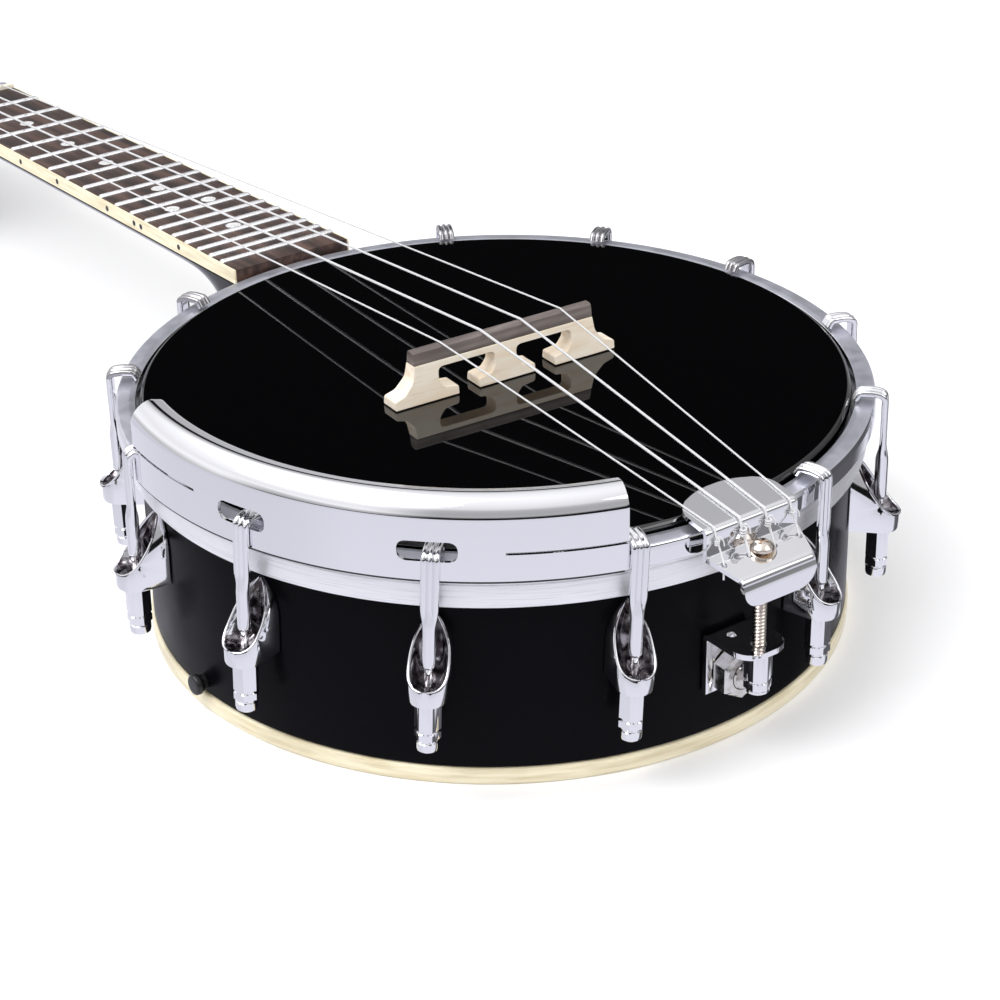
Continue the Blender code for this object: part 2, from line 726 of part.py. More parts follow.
# ---- tuners ----------------------------------------------------------------------------
def make_tuners():
    back = -headstock_thickness - gap
    shaft_z = back - housing_depth / 2 - 0.0005
    for number, (x, y) in enumerate(tuner_places, start=1):
        side = math.copysign(1, x)
        post = turned(f"tuner_post_{number}", [
            (0.0, 0.0130), (0.0024, 0.0130), (post_radius, 0.0124), (post_radius, 0.0098),
            (post_waist, 0.0090), (post_waist, 0.0060), (post_radius, 0.0050),
            (post_radius, back + gap), (0.0, back + gap)], closed=False, steps=16)
        post.parent = headstock_frame
        post.location = (x, y, 0)
        dress(post, "chrome")

        low = (x - housing_half_width, y - housing_half_length, back - housing_depth)
        high = (x + housing_half_width, y + housing_half_length, back)
        housing = box(f"tuner_housing_{number}", low, high)
        housing.parent = headstock_frame
        bore = cylinder(f"housing_bore_{number}", button_shaft_radius + bore_clearance,
                        (x - side * 0.0030, y, shaft_z), (x + side * 0.0100, y, shaft_z), 12,
                        home=cutters)
        bore.parent = headstock_frame
        dress(drill(housing, bore), "chrome")

        reach = button_reach
        button = turned(f"tuner_button_{number}", [
            (0.0, reach + 0.0105), (0.0045, reach + 0.0100), (0.0080, reach + 0.0070),
            (0.0080, reach + 0.0030), (0.0040, reach), (button_shaft_radius, reach),
            (button_shaft_radius, -0.0020), (0.0, -0.0020)], closed=False, steps=12)
        button.parent = headstock_frame
        button.location = (x, y, shaft_z)
        button.rotation_euler.y = side * math.pi / 2
        dress(button, "black_plastic")


# ---- bridge and strings ----------------------------------------------------------------
def make_bridge():
    frame = Matrix.Translation((0, bridge_y, head_top + gap)) @ Matrix.Rotation(bridge_turn, 4, "Z")
    half, joint = bridge_half_length, bridge_height - bridge_cap_height - gap
    toe, arch_top, foot = 0.0026, 0.0095, 0.0095
    arch_middle, arch_half = 0.0129, 0.0092

    def right_side():
        """The outline from the middle of the underside out to the right-hand top corner."""
        points = [(foot, 0.0), (foot, toe - 0.0008)]
        middle = arch_middle
        points += arc(middle, toe + 0.0010, arch_half, arch_top - toe - 0.0010, 180, 0, 8)
        points += [(2 * arch_middle - foot, toe - 0.0008), (2 * arch_middle - foot, 0.0)]
        points += [(half, 0.0), (half, toe)]
        for i in range(1, 5):
            t = i / 4
            points.append((half - 0.0066 * math.sin(t * math.pi / 2), toe + (joint - toe) * t ** 1.6))
        return points

    right = right_side()
    outline = right + [(-x, z) for x, z in reversed(right)]
    body = slab("bridge_body", outline, 0.0070, front_plane)
    for corner in body.data.vertices:
        corner.co.y *= 1.0 - 0.40 * corner.co.z / joint
    body.matrix_world = frame
    dress(body, "maple")

    low, high = joint + gap, bridge_height - gap
    top = half - 0.0070
    cap = slab("bridge_cap", [(-top - 0.0003, low), (top + 0.0003, low), (top, high), (-top, high)],
               0.0040, front_plane)
    for corner in cap.data.vertices:
        corner.co.y *= 1.0 if corner.co.z < (low + high) / 2 else 0.70
    cap.matrix_world = frame
    dress(cap, "ebony")


def make_strings():
    across = Matrix.Rotation(bridge_turn, 4, "Z")
    for number, radius in enumerate(string_radii, start=1):
        step = number - 2.5
        lift = gap + radius
        hole = Vector((step * tail_spacing, tail_screw_y, 0.0))
        over = Vector((step * tail_spacing, tail_front - 0.0001, 0.0730 + tail_sheet / 2))
        down = Vector((0, -tail_sheet / 2 - lift, 0))
        on_bridge = across @ Vector((step * bridge_spacing, 0, 0))
        on_bridge += Vector((0, bridge_y, head_top + bridge_height + lift))
        on_nut = neck_frame.matrix_world @ Vector(
            (step * nut_spacing, nut_local + 0.0008, nut_crown + lift))
        x, y = tuner_places[number - 1]
        inner_side = x - math.copysign(post_waist + lift, x)
        level = post_string_height
        at_post = headstock_frame.matrix_world @ Vector((inner_side, y, level))
        past_post = headstock_frame.matrix_world @ Vector((inner_side, y + 0.0015, level))
        path = [
            hole + Vector((0, 0, 0.0616)), hole + Vector((0, 0, 0.0652)),
            over + down + Vector((0, 0, -0.0012)), over + Vector((0, 0.0002, lift)),
            on_bridge, on_nut, at_post, past_post]
        dress(wire(f"string_{number}", path, radius), "nylon")


make_pot()
make_hoops()
make_hooks()
make_armrest()
make_tailpiece()
make_tail_bracket()
make_tail_screw()
make_coordinator()
make_strap_button()
make_fretboard()
make_neck()
make_tuners()
make_bridge()
make_strings()
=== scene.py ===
"""The finished look of the banjolele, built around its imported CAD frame.

Lengths in this script are millimetres and become metres when a mesh is made; only the floor
and the lights are given in metres.
+Z is up through the head, the tailpiece is at -Y, the neck along +Y, the armrest at -X.
Angles around the pot run from the tailpiece, positive towards +X.
"""
from math import atan, atan2, copysign, cos, pi, radians, sin, sqrt, tan, tau

import bmesh
import bpy
from mathutils import Matrix, Vector


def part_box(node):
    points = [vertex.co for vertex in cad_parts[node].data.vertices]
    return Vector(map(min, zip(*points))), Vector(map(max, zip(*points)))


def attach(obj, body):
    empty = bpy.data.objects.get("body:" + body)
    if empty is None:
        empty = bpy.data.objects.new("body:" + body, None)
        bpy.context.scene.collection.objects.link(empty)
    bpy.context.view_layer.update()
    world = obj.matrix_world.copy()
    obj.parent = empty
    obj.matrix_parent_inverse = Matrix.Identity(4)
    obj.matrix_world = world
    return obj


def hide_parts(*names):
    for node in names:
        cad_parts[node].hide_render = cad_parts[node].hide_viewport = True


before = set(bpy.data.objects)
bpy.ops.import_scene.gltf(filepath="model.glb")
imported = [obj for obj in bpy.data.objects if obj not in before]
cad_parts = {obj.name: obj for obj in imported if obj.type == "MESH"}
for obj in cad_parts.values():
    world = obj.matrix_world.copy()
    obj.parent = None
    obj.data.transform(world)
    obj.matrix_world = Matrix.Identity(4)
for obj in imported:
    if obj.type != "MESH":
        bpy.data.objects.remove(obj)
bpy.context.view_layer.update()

mm = 0.001
scene = bpy.context.scene


# ---- places taken from the frame ----
def cad_box(node):
    low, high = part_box(node)
    return low / mm, high / mm


def cad_angle(node):
    """Where a node sits around the pot."""
    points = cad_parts[node].data.vertices
    middle = sum((point.co for point in points), Vector()) / len(points)
    return atan2(middle.x, -middle.y)


wall = cad_box("rim")[1].x
head_top = cad_box("head")[1].z
head_edge = cad_box("head")[1].x
hoop_low, hoop_high = cad_box("tension_hoop")
flesh_low, flesh_high = cad_box("flesh_hoop")
binding_edge = cad_box("back_binding")[1].x
binding_top = cad_box("back_binding")[1].z
screw_low, screw_high = cad_box("tail_screw")
screw_y = (screw_low.y + screw_high.y) / 2
rod_height = (cad_box("coordinator_rod")[0].z + cad_box("coordinator_rod")[1].z) / 2
hook_rod = 111.4                # from the pot's axis to the middle of a hook's rod
sides = 240                     # facets around the pot

neck_fall = 0.045               # how far the neck drops, per length
neck_start = 116.0              # where the neck's own frame begins, along Y
board_level = 72.8              # top of the fingerboard there
headstock_tilt, bridge_turn = radians(12), radians(-3.2)
bridge_place, nut_place, scale_length = -3.1, 341.9, 345.0
bridge_foot = head_top + 0.3
bridge_height, cap_height = 15.8, 4.5
saddle_height, nut_height = bridge_height - 0.35, 1.3
string_gap = 8.5                # between strings at the tailpiece
wall_gap = 0.3                  # between the pot's wall and what is screwed to it
nut_local = nut_place - neck_start
tuner_places = ((-15.0, 36.0), (-15.0, 76.0), (15.0, 76.0), (15.0, 36.0))
camera_azimuth = radians(-35.568)


def moved(x, y, z):
    return Matrix.Translation((x * mm, y * mm, z * mm))


def turned(angle, axis="Z"):
    return Matrix.Rotation(angle, 4, axis)


neck_pose = moved(0, neck_start, board_level) @ turned(-atan(neck_fall), "X")
headstock_pose = neck_pose @ moved(0, nut_local + 6.2, -2.0) @ turned(-headstock_tilt, "X")
bridge_pose = moved(0, bridge_place, bridge_foot) @ turned(bridge_turn)


# ---- materials ----
def plug(tree, socket, value):
    if isinstance(value, bpy.types.NodeSocket):
        tree.links.new(value, socket)
    else:
        socket.default_value = value


def add_node(tree, kind, inputs, **settings):
    """Adds a shader node; its inputs are values or other nodes' outputs."""
    made = tree.nodes.new("ShaderNode" + kind)
    for name, value in settings.items():
        setattr(made, name, value)
    for socket, value in inputs.items():
        plug(tree, made.inputs[socket], value)
    return made


def colour_ramp(tree, factor, stops):
    """Blends between colours given at positions from 0 to 1."""
    ramp = add_node(tree, "ValToRGB", {"Fac": factor})
    elements = ramp.color_ramp.elements
    while len(elements) < len(stops):
        elements.new(0.5)
    for element, (position, colour) in zip(elements, stops):
        element.position = position
        element.color = (*colour, 1.0)
    return ramp.outputs["Color"]


class Finish:
    """A Principled material whose colour, roughness and bump come from layered noise."""

    def __init__(self, name, colour, roughness, metallic=0.0, **settings):
        self.material = bpy.data.materials.new(name)
        self.material.use_nodes = True
        self.tree = self.material.node_tree
        self.shader = self.tree.nodes["Principled BSDF"]
        self.set("Base Color", (*colour, 1.0))
        self.set("Roughness", roughness)
        self.set("Metallic", metallic)
        for socket, value in settings.items():
            self.set(socket.replace("_", " "), value)
        self.coordinates = add_node(self.tree, "TexCoord", {}).outputs["Object"]

    def set(self, socket, value):
        plug(self.tree, self.shader.inputs[socket], value)

    def noise(self, scale, stretch=(1, 1, 1), detail=3.0, distortion=0.0):
        """Noise with features about 1 / scale metres long, stretched along each axis."""
        place = add_node(self.tree, "Mapping", {"Vector": self.coordinates, "Scale": stretch})
        return add_node(self.tree, "TexNoise", {
            "Vector": place.outputs["Vector"], "Scale": scale, "Detail": detail,
            "Distortion": distortion}).outputs["Fac"]

    def tint(self, factor, *stops):
        self.set("Base Color", colour_ramp(self.tree, factor, stops))

    def vary_roughness(self, factor, low, high):
        span = {"Value": factor, "From Min": 0.35, "From Max": 0.65, "To Min": low, "To Max": high}
        self.set("Roughness", add_node(self.tree, "MapRange", span).outputs["Result"])

    def bump(self, factor, height):
        """Relief of a given height in millimetres."""
        relief = {"Height": factor, "Strength": 1.0, "Distance": height * mm}
        self.set("Normal", add_node(self.tree, "Bump", relief).outputs["Normal"])


def plated(name, colour, scale, low, high, detail=3.0, metallic=1.0):
    """Metal whose roughness drifts between low and high."""
    made = Finish(name, colour, low, metallic)
    made.vary_roughness(made.noise(scale, detail=detail), low, high)
    return made


def chrome():
    made = plated("chrome_plate", (0.89, 0.89, 0.91), 90, 0.03, 0.075, detail=5)
    made.bump(made.noise(60, detail=1), 0.010)
    return made


def brushed_aluminium():
    """Fine streaks that run around the hoop."""
    made = Finish("brushed_hoop", (0.90, 0.90, 0.93), 0.36, 0.75)
    streaks = made.noise(60, (1, 1, 50), 6)
    made.tint(streaks, (0.28, (0.70, 0.70, 0.72)), (0.50, (0.90, 0.90, 0.93)))
    made.vary_roughness(streaks, 0.32, 0.42)
    made.bump(streaks, 0.006)
    return made


def dark_chrome():
    """Darker, rougher chrome with random tone: painted shade for the inside of the shoes' scoops.
    """
    made = Finish("dark_chrome", (0.16, 0.145, 0.15), 0.18, 1.0)
    made.tint(made.noise(320), (0.40, (0.05, 0.04, 0.045)), (0.62, (0.42, 0.40, 0.42)))
    return made


def zinc():
    made = Finish("zinc_plate", (0.72, 0.70, 0.67), 0.20, 1.0)
    spots = made.noise(420, detail=5)
    made.tint(spots, (0.35, (0.60, 0.57, 0.52)), (0.65, (0.80, 0.79, 0.78)))
    made.vary_roughness(spots, 0.12, 0.30)
    return made


def satin_black():
    """Sprayed lacquer on the pot's wall, with the faint unevenness of the spray."""
    made = Finish("satin_black", (0.002, 0.002, 0.003), 0.30, IOR=1.13)
    made.vary_roughness(made.noise(35), 0.24, 0.36)
    made.bump(made.noise(900, detail=2), 0.004)
    return made


def gloss_black():
    made = Finish("gloss_black", (0.005, 0.005, 0.006), 0.10, IOR=1.45)
    made.vary_roughness(made.noise(40), 0.05, 0.14)
    made.bump(made.noise(50, detail=1), 0.02)
    return made


def black_film():
    """The plastic head, almost a mirror."""
    made = Finish("black_film", (0.001, 0.001, 0.0013), 0.03, IOR=1.8)
    made.vary_roughness(made.noise(25, detail=4), 0.012, 0.035)
    return made


def cream_binding():
    made = Finish("cream_binding", (0.78, 0.70, 0.50), 0.34, IOR=1.45)
    made.tint(made.noise(55, (1, 1, 14), 4), (0.30, (0.62, 0.54, 0.36)), (0.60, (0.80, 0.73, 0.55)))
    made.set("Subsurface Weight", 0.10)
    made.set("Subsurface Radius", (0.0012, 0.0008, 0.0004))
    return made


def maple():
    """Pale wood: long soft figure across the bridge with short dark flecks."""
    made = Finish("maple", (0.86, 0.76, 0.62), 0.48)
    figure = colour_ramp(made.tree, made.noise(60, (1, 4, 6), 4, 0.5),
                         ((0.34, (0.88, 0.74, 0.57)), (0.62, (0.95, 0.86, 0.73))))
    flecks = colour_ramp(made.tree, made.noise(700, (0.12, 1, 1), 2),
                         ((0.32, (0.6, 0.6, 0.6)), (0.40, (0, 0, 0))))
    wood = add_node(made.tree, "Mix", {"Factor": flecks, "A": figure, "B": (0.80, 0.64, 0.48, 1.0)},
                    data_type="RGBA")
    made.set("Base Color", wood.outputs["Result"])
    made.bump(made.noise(800, (0.15, 1, 1), 3), 0.012)
    return made


def ebony():
    """The dark cap: grey-brown with streaks along it."""
    made = Finish("ebony", (0.13, 0.11, 0.10), 0.42)
    streaks = made.noise(260, (0.10, 1, 1), 6, 0.3)
    made.tint(streaks, (0.32, (0.085, 0.068, 0.062)), (0.52, (0.160, 0.132, 0.122)),
              (0.70, (0.27, 0.232, 0.215)))
    made.bump(streaks, 0.06)
    return made


def rosewood():
    made = Finish("rosewood", (0.05, 0.028, 0.02), 0.45)
    made.tint(made.noise(240, (1, 0.07, 1), 7, 0.4), (0.34, (0.012, 0.006, 0.005)),
              (0.50, (0.045, 0.023, 0.017)), (0.68, (0.115, 0.062, 0.045)))
    made.bump(made.noise(900, (1, 0.06, 1), 4), 0.07)
    return made


def bone():
    made = Finish("bone", (0.86, 0.81, 0.68), 0.35)
    made.tint(made.noise(300, (0.4, 1, 1), 4), (0.35, (0.78, 0.71, 0.56)),
              (0.65, (0.88, 0.84, 0.73)))
    return made


def pearl():
    made = Finish("pearl", (0.80, 0.80, 0.80), 0.18, Coat_Weight=0.5)
    made.tint(made.noise(420, distortion=2.0), (0.30, (0.50, 0.52, 0.58)),
              (0.50, (0.80, 0.80, 0.78)), (0.70, (0.92, 0.90, 0.96)))
    return made


def nylon():
    """Clear monofilament that looks pale grey in the light."""
    made = Finish("nylon", (0.70, 0.70, 0.72), 0.30, Transmission_Weight=0.12, IOR=1.5)
    made.vary_roughness(made.noise(300), 0.27, 0.33)
    return made


def black_plastic():
    made = Finish("black_plastic", (0.010, 0.010, 0.011), 0.38)
    made.bump(made.noise(1500, detail=2), 0.02)
    return made


finishes = {
    "chrome": chrome(),
    "fret_wire": plated("fret_wire", (0.97, 0.97, 0.98), 500, 0.22, 0.34, metallic=0.85),
    # Painted sheen: a duller, blue-grey chrome for the tension hoop's upward faces, so its top
    # reads pale grey-blue.
    "satin_chrome_painted_sheen": plated("satin_chrome_painted_sheen", (0.70, 0.71, 0.78), 200, 0.38, 0.46),
    "soft_chrome": plated("soft_chrome", (0.91, 0.91, 0.93), 60, 0.05, 0.075, detail=4),
    # Painted shade: a darker chrome for the upper part of hooks 5, 6 and 10 to 12.
    "painted_shade_chrome": plated("painted_shade_chrome", (0.46, 0.45, 0.46), 300, 0.18, 0.26),
    "nickel": plated("nickel_plate", (0.78, 0.70, 0.62), 700, 0.10, 0.26),
    "dark_chrome": dark_chrome(), "brushed_aluminium": brushed_aluminium(), "zinc": zinc(),
    "black_lacquer": satin_black(), "neck_lacquer": gloss_black(), "black_film": black_film(),
    "cream_binding": cream_binding(), "fretboard_cream": cream_binding(), "maple": maple(),
    "ebony": ebony(), "rosewood": rosewood(), "bone": bone(), "pearloid": pearl(),
    "nylon": nylon(), "black_plastic": black_plastic(),
}


# ---- outlines ----
def rounded(points, radius, steps=4, closed=True):
    """Rounds an outline's corners; a third value in a point is its own radius."""
    outline = []
    count = len(points)
    for i, raw in enumerate(points):
        here = Vector(raw[:2])
        size = raw[2] if len(raw) > 2 else radius
        before = Vector(points[i - 1][:2]) - here
        after = Vector(points[(i + 1) % count][:2]) - here
        end = not closed and i in (0, count - 1)
        if end or size == 0 or before.angle(after) > pi - 0.03:
            outline.append(here)
            continue
        reach = min(size / tan(before.angle(after) / 2), 0.49 * before.length,
                    0.49 * after.length)
        first = here + before.normalized() * reach
        last = here + after.normalized() * reach
        for k in range(steps + 1):
            t = k / steps
            outline.append(first * (1 - t) ** 2 + here * 2 * t * (1 - t) + last * t ** 2)
    return outline


def spline(points, steps=6):
    """A smooth line through every point, each a tuple of any length."""
    points = [tuple(p) for p in points]
    ends = [points[0]] + points + [points[-1]]
    line = []
    for a, b, c, d in zip(ends, ends[1:], ends[2:], ends[3:]):
        for k in range(steps):
            t = k / steps
            line.append(tuple(
                0.5 * (2 * q + (r - p) * t + (2 * p - 5 * q + 4 * r - s) * t ** 2
                       + (3 * q - p - 3 * r + s) * t ** 3)
                for p, q, r, s in zip(a, b, c, d)))
    line.append(points[-1])
    return line


def circle(radius, count):
    return [Vector((radius * cos(tau * k / count),
                    radius * sin(tau * k / count))) for k in range(count)]


def hexagon(across_flats, limit, turn=0.0):
    """A hexagon's outline, cut off at a distance from its middle."""
    outline = []
    for k in range(48):
        a = tau * k / 48
        off_side = (a + turn + pi / 6) % (pi / 3) - pi / 6
        reach = min(across_flats / 2 / cos(off_side), limit)
        outline.append((reach * cos(a), reach * sin(a)))
    return outline


def ease(low, high, value):
    """Goes smoothly from 0 at low to 1 at high."""
    t = min(max((value - low) / (high - low), 0.0), 1.0)
    return t * t * (3 - 2 * t)


def flat(a, b, level):
    return (a, b, level)


def front(a, b, level):
    """Outline across X and Z, thickness along Y."""
    return (a, level, b)


def side(a, b, level):
    """Outline along Y and Z, thickness along X."""
    return (level, a, b)


# ---- meshes ----
def loft(rings, ring_closed=True, loop=False, caps=True, end_faces=()):
    """Skins rings with equal counts of points; end_faces lists faces on the last ring."""
    grid = bmesh.new()
    rows = [[grid.verts.new(Vector(point) * mm) for point in ring] for ring in rings]
    pairs = list(zip(rows, rows[1:]))
    if loop:
        pairs.append((rows[-1], rows[0]))
    count = len(rows[0])
    for near, far in pairs:
        for i in range(count if ring_closed else count - 1):
            j = (i + 1) % count
            grid.faces.new((near[i], near[j], far[j], far[i]))
    if caps and not loop:
        grid.faces.new(rows[0][::-1])
        grid.faces.new(rows[-1])
    for face in end_faces:
        grid.faces.new([rows[-1][i] for i in face])
    bmesh.ops.remove_doubles(grid, verts=grid.verts, dist=0.000002)
    bmesh.ops.recalc_face_normals(grid, faces=grid.faces)
    mesh = bpy.data.meshes.new("made")
    grid.to_mesh(mesh)
    grid.free()
    mesh.shade_smooth()
    return mesh


def lathe(profile, steps=sides, start=0.0, sweep=tau):
    """Turns (radius, height) points about Z, from an angle around the pot. A profile that
    starts on the axis also ends there; any other one is a closed outline."""
    whole = abs(sweep - tau) < 0.001
    rings = []
    for k in range(steps if whole else steps + 1):
        a = start + sweep * k / steps
        rings.append([(r * sin(a), -r * cos(a), z) for r, z in profile])
    return loft(rings, ring_closed=profile[0][0] > 0, loop=whole, caps=not whole)


def slab(outline, low, high, facing=flat):
    return loft([[facing(a, b, level) for a, b in outline] for level in (low, high)])


def bar(start, end, radius, count=32):
    """A round bar between two points."""
    start, end = Vector(start), Vector(end)
    turn = (end - start).to_track_quat("Z", "Y")
    return loft([[middle + turn @ p.to_3d() for p in circle(radius, count)]
                 for middle in (start, end)])


def rod_bore(start, end, radius=4.4):
    """Room for the coordinator rod between two places along Y."""
    return bar((0, start, rod_height), (0, end, rod_height), radius)


def tube(path, radius, count=10):
    """A round wire along a path, without twist; radius may be one number or one a point."""
    path = [Vector(p) for p in path]
    radii = radius if isinstance(radius, (list, tuple)) else [radius] * len(path)
    rings = []
    along = (path[1] - path[0]).normalized()
    across = along.orthogonal().normalized()
    for i, point in enumerate(path):
        ahead = (path[min(i + 1, len(path) - 1)] - path[max(i - 1, 0)]).normalized()
        across = (along.rotation_difference(ahead) @ across).normalized()
        along = ahead
        other = along.cross(across)
        rings.append([point + across * p.x + other * p.y for p in circle(radii[i], count)])
    return loft(rings)


def folded(path, half_width, thickness, columns=28):
    """A sheet along a path of (radius, height), with its half width at each place on it."""
    path = [Vector(p) for p in path]
    rings = []
    for i, point in enumerate(path):
        into = point - path[i - 1] if i else path[1] - path[0]
        out = path[i + 1] - point if i + 1 < len(path) else into
        bisector = (into.normalized() + out.normalized()).normalized()
        normal = Vector((-bisector.y, bisector.x)) * thickness / 2
        normal /= max(normal.normalized().dot(Vector((-out.y, out.x)).normalized()), 0.5)
        half = half_width(i, point)
        across = [half * (2 * k / columns - 1) for k in range(columns + 1)]
        above, below = point + normal, point - normal
        rings.append([(x, -above.x, above.y) for x in across]
                     + [(x, -below.x, below.y) for x in reversed(across)])
    return loft(rings)


def merged(*meshes):
    """Several closed shells as one mesh."""
    grid = bmesh.new()
    for mesh in meshes:
        grid.from_mesh(mesh)
    mesh = bpy.data.meshes.new("merged")
    grid.to_mesh(mesh)
    grid.free()
    mesh.shade_smooth()
    return mesh


def add_object(name, data):
    made = bpy.data.objects.new(name, data)
    scene.collection.objects.link(made)
    return made


def carve(mesh, tools, folds=False):
    """Cuts the tools away from a mesh; folds allows for a sheet that touches itself."""
    whole = add_object("whole", mesh)
    helpers = [whole]
    for tool in tools:
        helpers.append(add_object("tool", tool))
        step = whole.modifiers.new("step", "BOOLEAN")
        step.operation = "DIFFERENCE"
        step.solver = "EXACT"
        step.use_self = folds
        step.object = helpers[-1]
    bpy.context.view_layer.update()
    depsgraph = bpy.context.evaluated_depsgraph_get()
    result = bpy.data.meshes.new_from_object(whole.evaluated_get(depsgraph))
    for helper in helpers:
        bpy.data.objects.remove(helper)
    return result


# ---- pieces ----
def piece(name, mesh, slot, body="instrument", stands_for=None, pose=None, soften=None,
          sharp=None, finish=None):
    """Adds a finished piece, which may stand for a node of the CAD. soften rounds its edges by
    that many millimetres; sharp is the angle from which they stay hard."""
    made = add_object(name, mesh)
    made.data.materials.clear()
    made.data.materials.append(finishes[finish or slot].material)
    if pose is not None:
        made.matrix_world = pose
    if sharp:
        made.data.set_sharp_from_angle(angle=radians(sharp))
    if soften:
        bevel = made.modifiers.new("edges", "BEVEL")
        bevel.width = soften * mm
        bevel.segments = 3
        bevel.limit_method = "ANGLE"
        bevel.angle_limit = radians(38)
        bevel.use_clamp_overlap = True
        even = made.modifiers.new("even_shading", "WEIGHTED_NORMAL")
        even.keep_sharp = True
        even.weight = 80
    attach(made, body)
    if stands_for:
        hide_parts(stands_for)
    return made


# ---- pot ----
def make_pot():
    low, high = cad_box("rim")
    collar, step, inner = 101.2, 55.4, 93.0
    shell = lathe(rounded([(inner, high.z), (collar, high.z), (collar, step), (wall, step),
                           (wall, low.z), (inner, low.z)], 0.5))
    shell = carve(shell, [rod_bore(-wall - 9, wall + 9)])
    piece("pot_wall", shell, "black_lacquer", stands_for="rim", sharp=40)

    plate = binding_edge - 2.0
    thick = cad_box("back_plate")[1].z
    disc = lathe(rounded([(0, thick, 0), (plate, thick), (plate, 0), (0, 0, 0)], 0.4))
    piece("pot_back", disc, "black_lacquer", stands_for="back_plate", sharp=40)

    inner = plate + 0.3
    ring = lathe(rounded([(inner, binding_top), (binding_edge, binding_top, 1.1),
                          (binding_edge, 0, 1.4), (inner, 0)], 0.2))
    piece("pot_binding", ring, "cream_binding", stands_for="back_binding", sharp=40)

    edge, skirt, film = head_edge, hoop_low.z, 0.4
    skin = lathe(rounded([
        (0, head_top, 0), (edge - 1.1, head_top, 1.0), (edge - 0.25, head_top - 0.8, 0.5),
        (edge, head_top - 2.4, 0.6), (edge, skirt), (edge - film, skirt),
        (edge - film, head_top - 2.5, 0.6), (edge - 0.65, head_top - 1.2, 0.5),
        (edge - 1.3, head_top - film, 0.9), (0, head_top - film, 0)], 0.1, 6))
    piece("drum_head", skin, "black_film", stands_for="head", sharp=40)


def make_hoops():
    inner = 101.8
    low, high, edge = flesh_low.z, flesh_high.z, flesh_high.x
    piece("flesh_hoop_ring", lathe(rounded([
        (inner, high), (edge, high), (edge, high - 1.1, 0.1), (edge - 0.3, high - 1.35, 0.1),
        (edge, high - 1.6, 0.1), (edge, low), (inner, low)], 0.5)), "brushed_aluminium",
        stands_for="flesh_hoop", sharp=30)

    inner = 102.9
    low, high, edge = hoop_low.z, hoop_high.z, hoop_high.x
    ring = piece("tension_hoop_ring", lathe(rounded([
        (inner, high - 0.2, 0.5), (inner + 1.8, high + 0.1, 2.0), (edge - 0.35, high - 0.1, 0.9),
        (edge, high - 1.6, 0.3), (edge, low + 0.4, 0.3), (edge - 0.5, low), (inner, low)], 0.4, 6)),
        "chrome", stands_for="tension_hoop", sharp=50)
    # Painted sheen: faces turned upwards take the duller, blue-grey chrome, so the hoop's top reads
    # pale whatever it reflects.
    ring.data.materials.append(finishes["satin_chrome_painted_sheen"].material)
    facing_up = 0.75
    for polygon in ring.data.polygons:
        if polygon.normal.z > facing_up:
            polygon.material_index = 1


# ---- hooks, nuts and shoes ----
def strap_section():
    """Half of a flat strap's outline with a rib between two grooves, mirrored across."""
    outer = [(2.45, 0.0), (2.42, 0.45), (2.15, 0.82), (1.60, 0.90), (1.15, 0.72), (0.82, 0.40),
             (0.55, 0.70), (0.30, 0.98), (0.0, 1.05)]
    inner = [(2.40, -0.45), (2.10, -0.82), (1.20, -0.90), (0.55, -0.90)]
    right = [(0.0, -0.90)] + inner[::-1] + outer
    return right + [(-x, z) for x, z in right[-2:0:-1]]


def hook_mesh():
    """The strap over the hoop, narrowing to a round rod with a threaded tail."""
    top = hoop_high.z + 2.8
    bend = rounded([(103.2, hoop_high.z + 0.9), (104.3, top, 1.2), (108.0, top + 0.15, 9.0),
                    (hook_rod, top - 0.5, 2.3), (hook_rod, 59.0)], 1.0, 6, closed=False)
    heights = [58.0, 57.2, 56.4, 55.6, 54.8, 54.0, 53.2, 52.4, 50.0, 46.0, 42.6, 41.6, 41.0, 40.7]
    path = bend + [Vector((hook_rod, z)) for z in heights]
    strap = strap_section()
    count, rod_radius = len(strap), 1.85
    rod = [(sin(tau * k / count), -cos(tau * k / count)) for k in range(count)]
    rings = []
    for i, point in enumerate(path):
        ahead = (path[min(i + 1, len(path) - 1)] - path[max(i - 1, 0)]).normalized()
        out = Vector((-ahead.y, ahead.x))
        share = ease(58.4, 52.4, point.y) if point.x > hook_rod - 0.1 else 0.0
        size = rod_radius - 0.12 * max(i - len(path) + 3, 0) ** 2
        ring = []
        for (a, b), (c, d) in zip(strap, rod):
            across = a * (1 - share) + c * size * share
            lift = b * (1 - share) + d * size * share
            place = point + out * lift
            ring.append((across, -place.x, place.y))
        rings.append(ring)
    tail = bar((0, -hook_rod, 41.5), (0, -hook_rod, 28.4), 1.15, 20)
    return merged(loft(rings), tail)


def long_nut_mesh(across_flats, top, waist, bottom):
    """A hexagon nut with a chamfered top, a groove at its waist and a round lower end."""
    corner = across_flats / sqrt(3)
    half = across_flats / 2
    levels = [(top, half * 0.96), (top - 0.5, corner), (waist + 0.45, corner),
              (waist + 0.15, half * 0.97), (waist - 0.15, half * 0.97), (waist - 0.45, corner),
              (waist - 2.4, corner), (waist - 2.8, half * 0.98), (waist - 3.0, half * 0.90),
              (waist - 3.3, half * 0.90), (waist - 3.5, half * 0.99), (bottom + 1.3, half * 0.99),
              (bottom + 0.5, half * 0.93), (bottom + 0.12, half * 0.78), (bottom, half * 0.55),
              (bottom, 0.0)]
    return loft([[(x, y, z) for x, y in hexagon(across_flats, limit, pi / 6)]
                 for z, limit in levels])


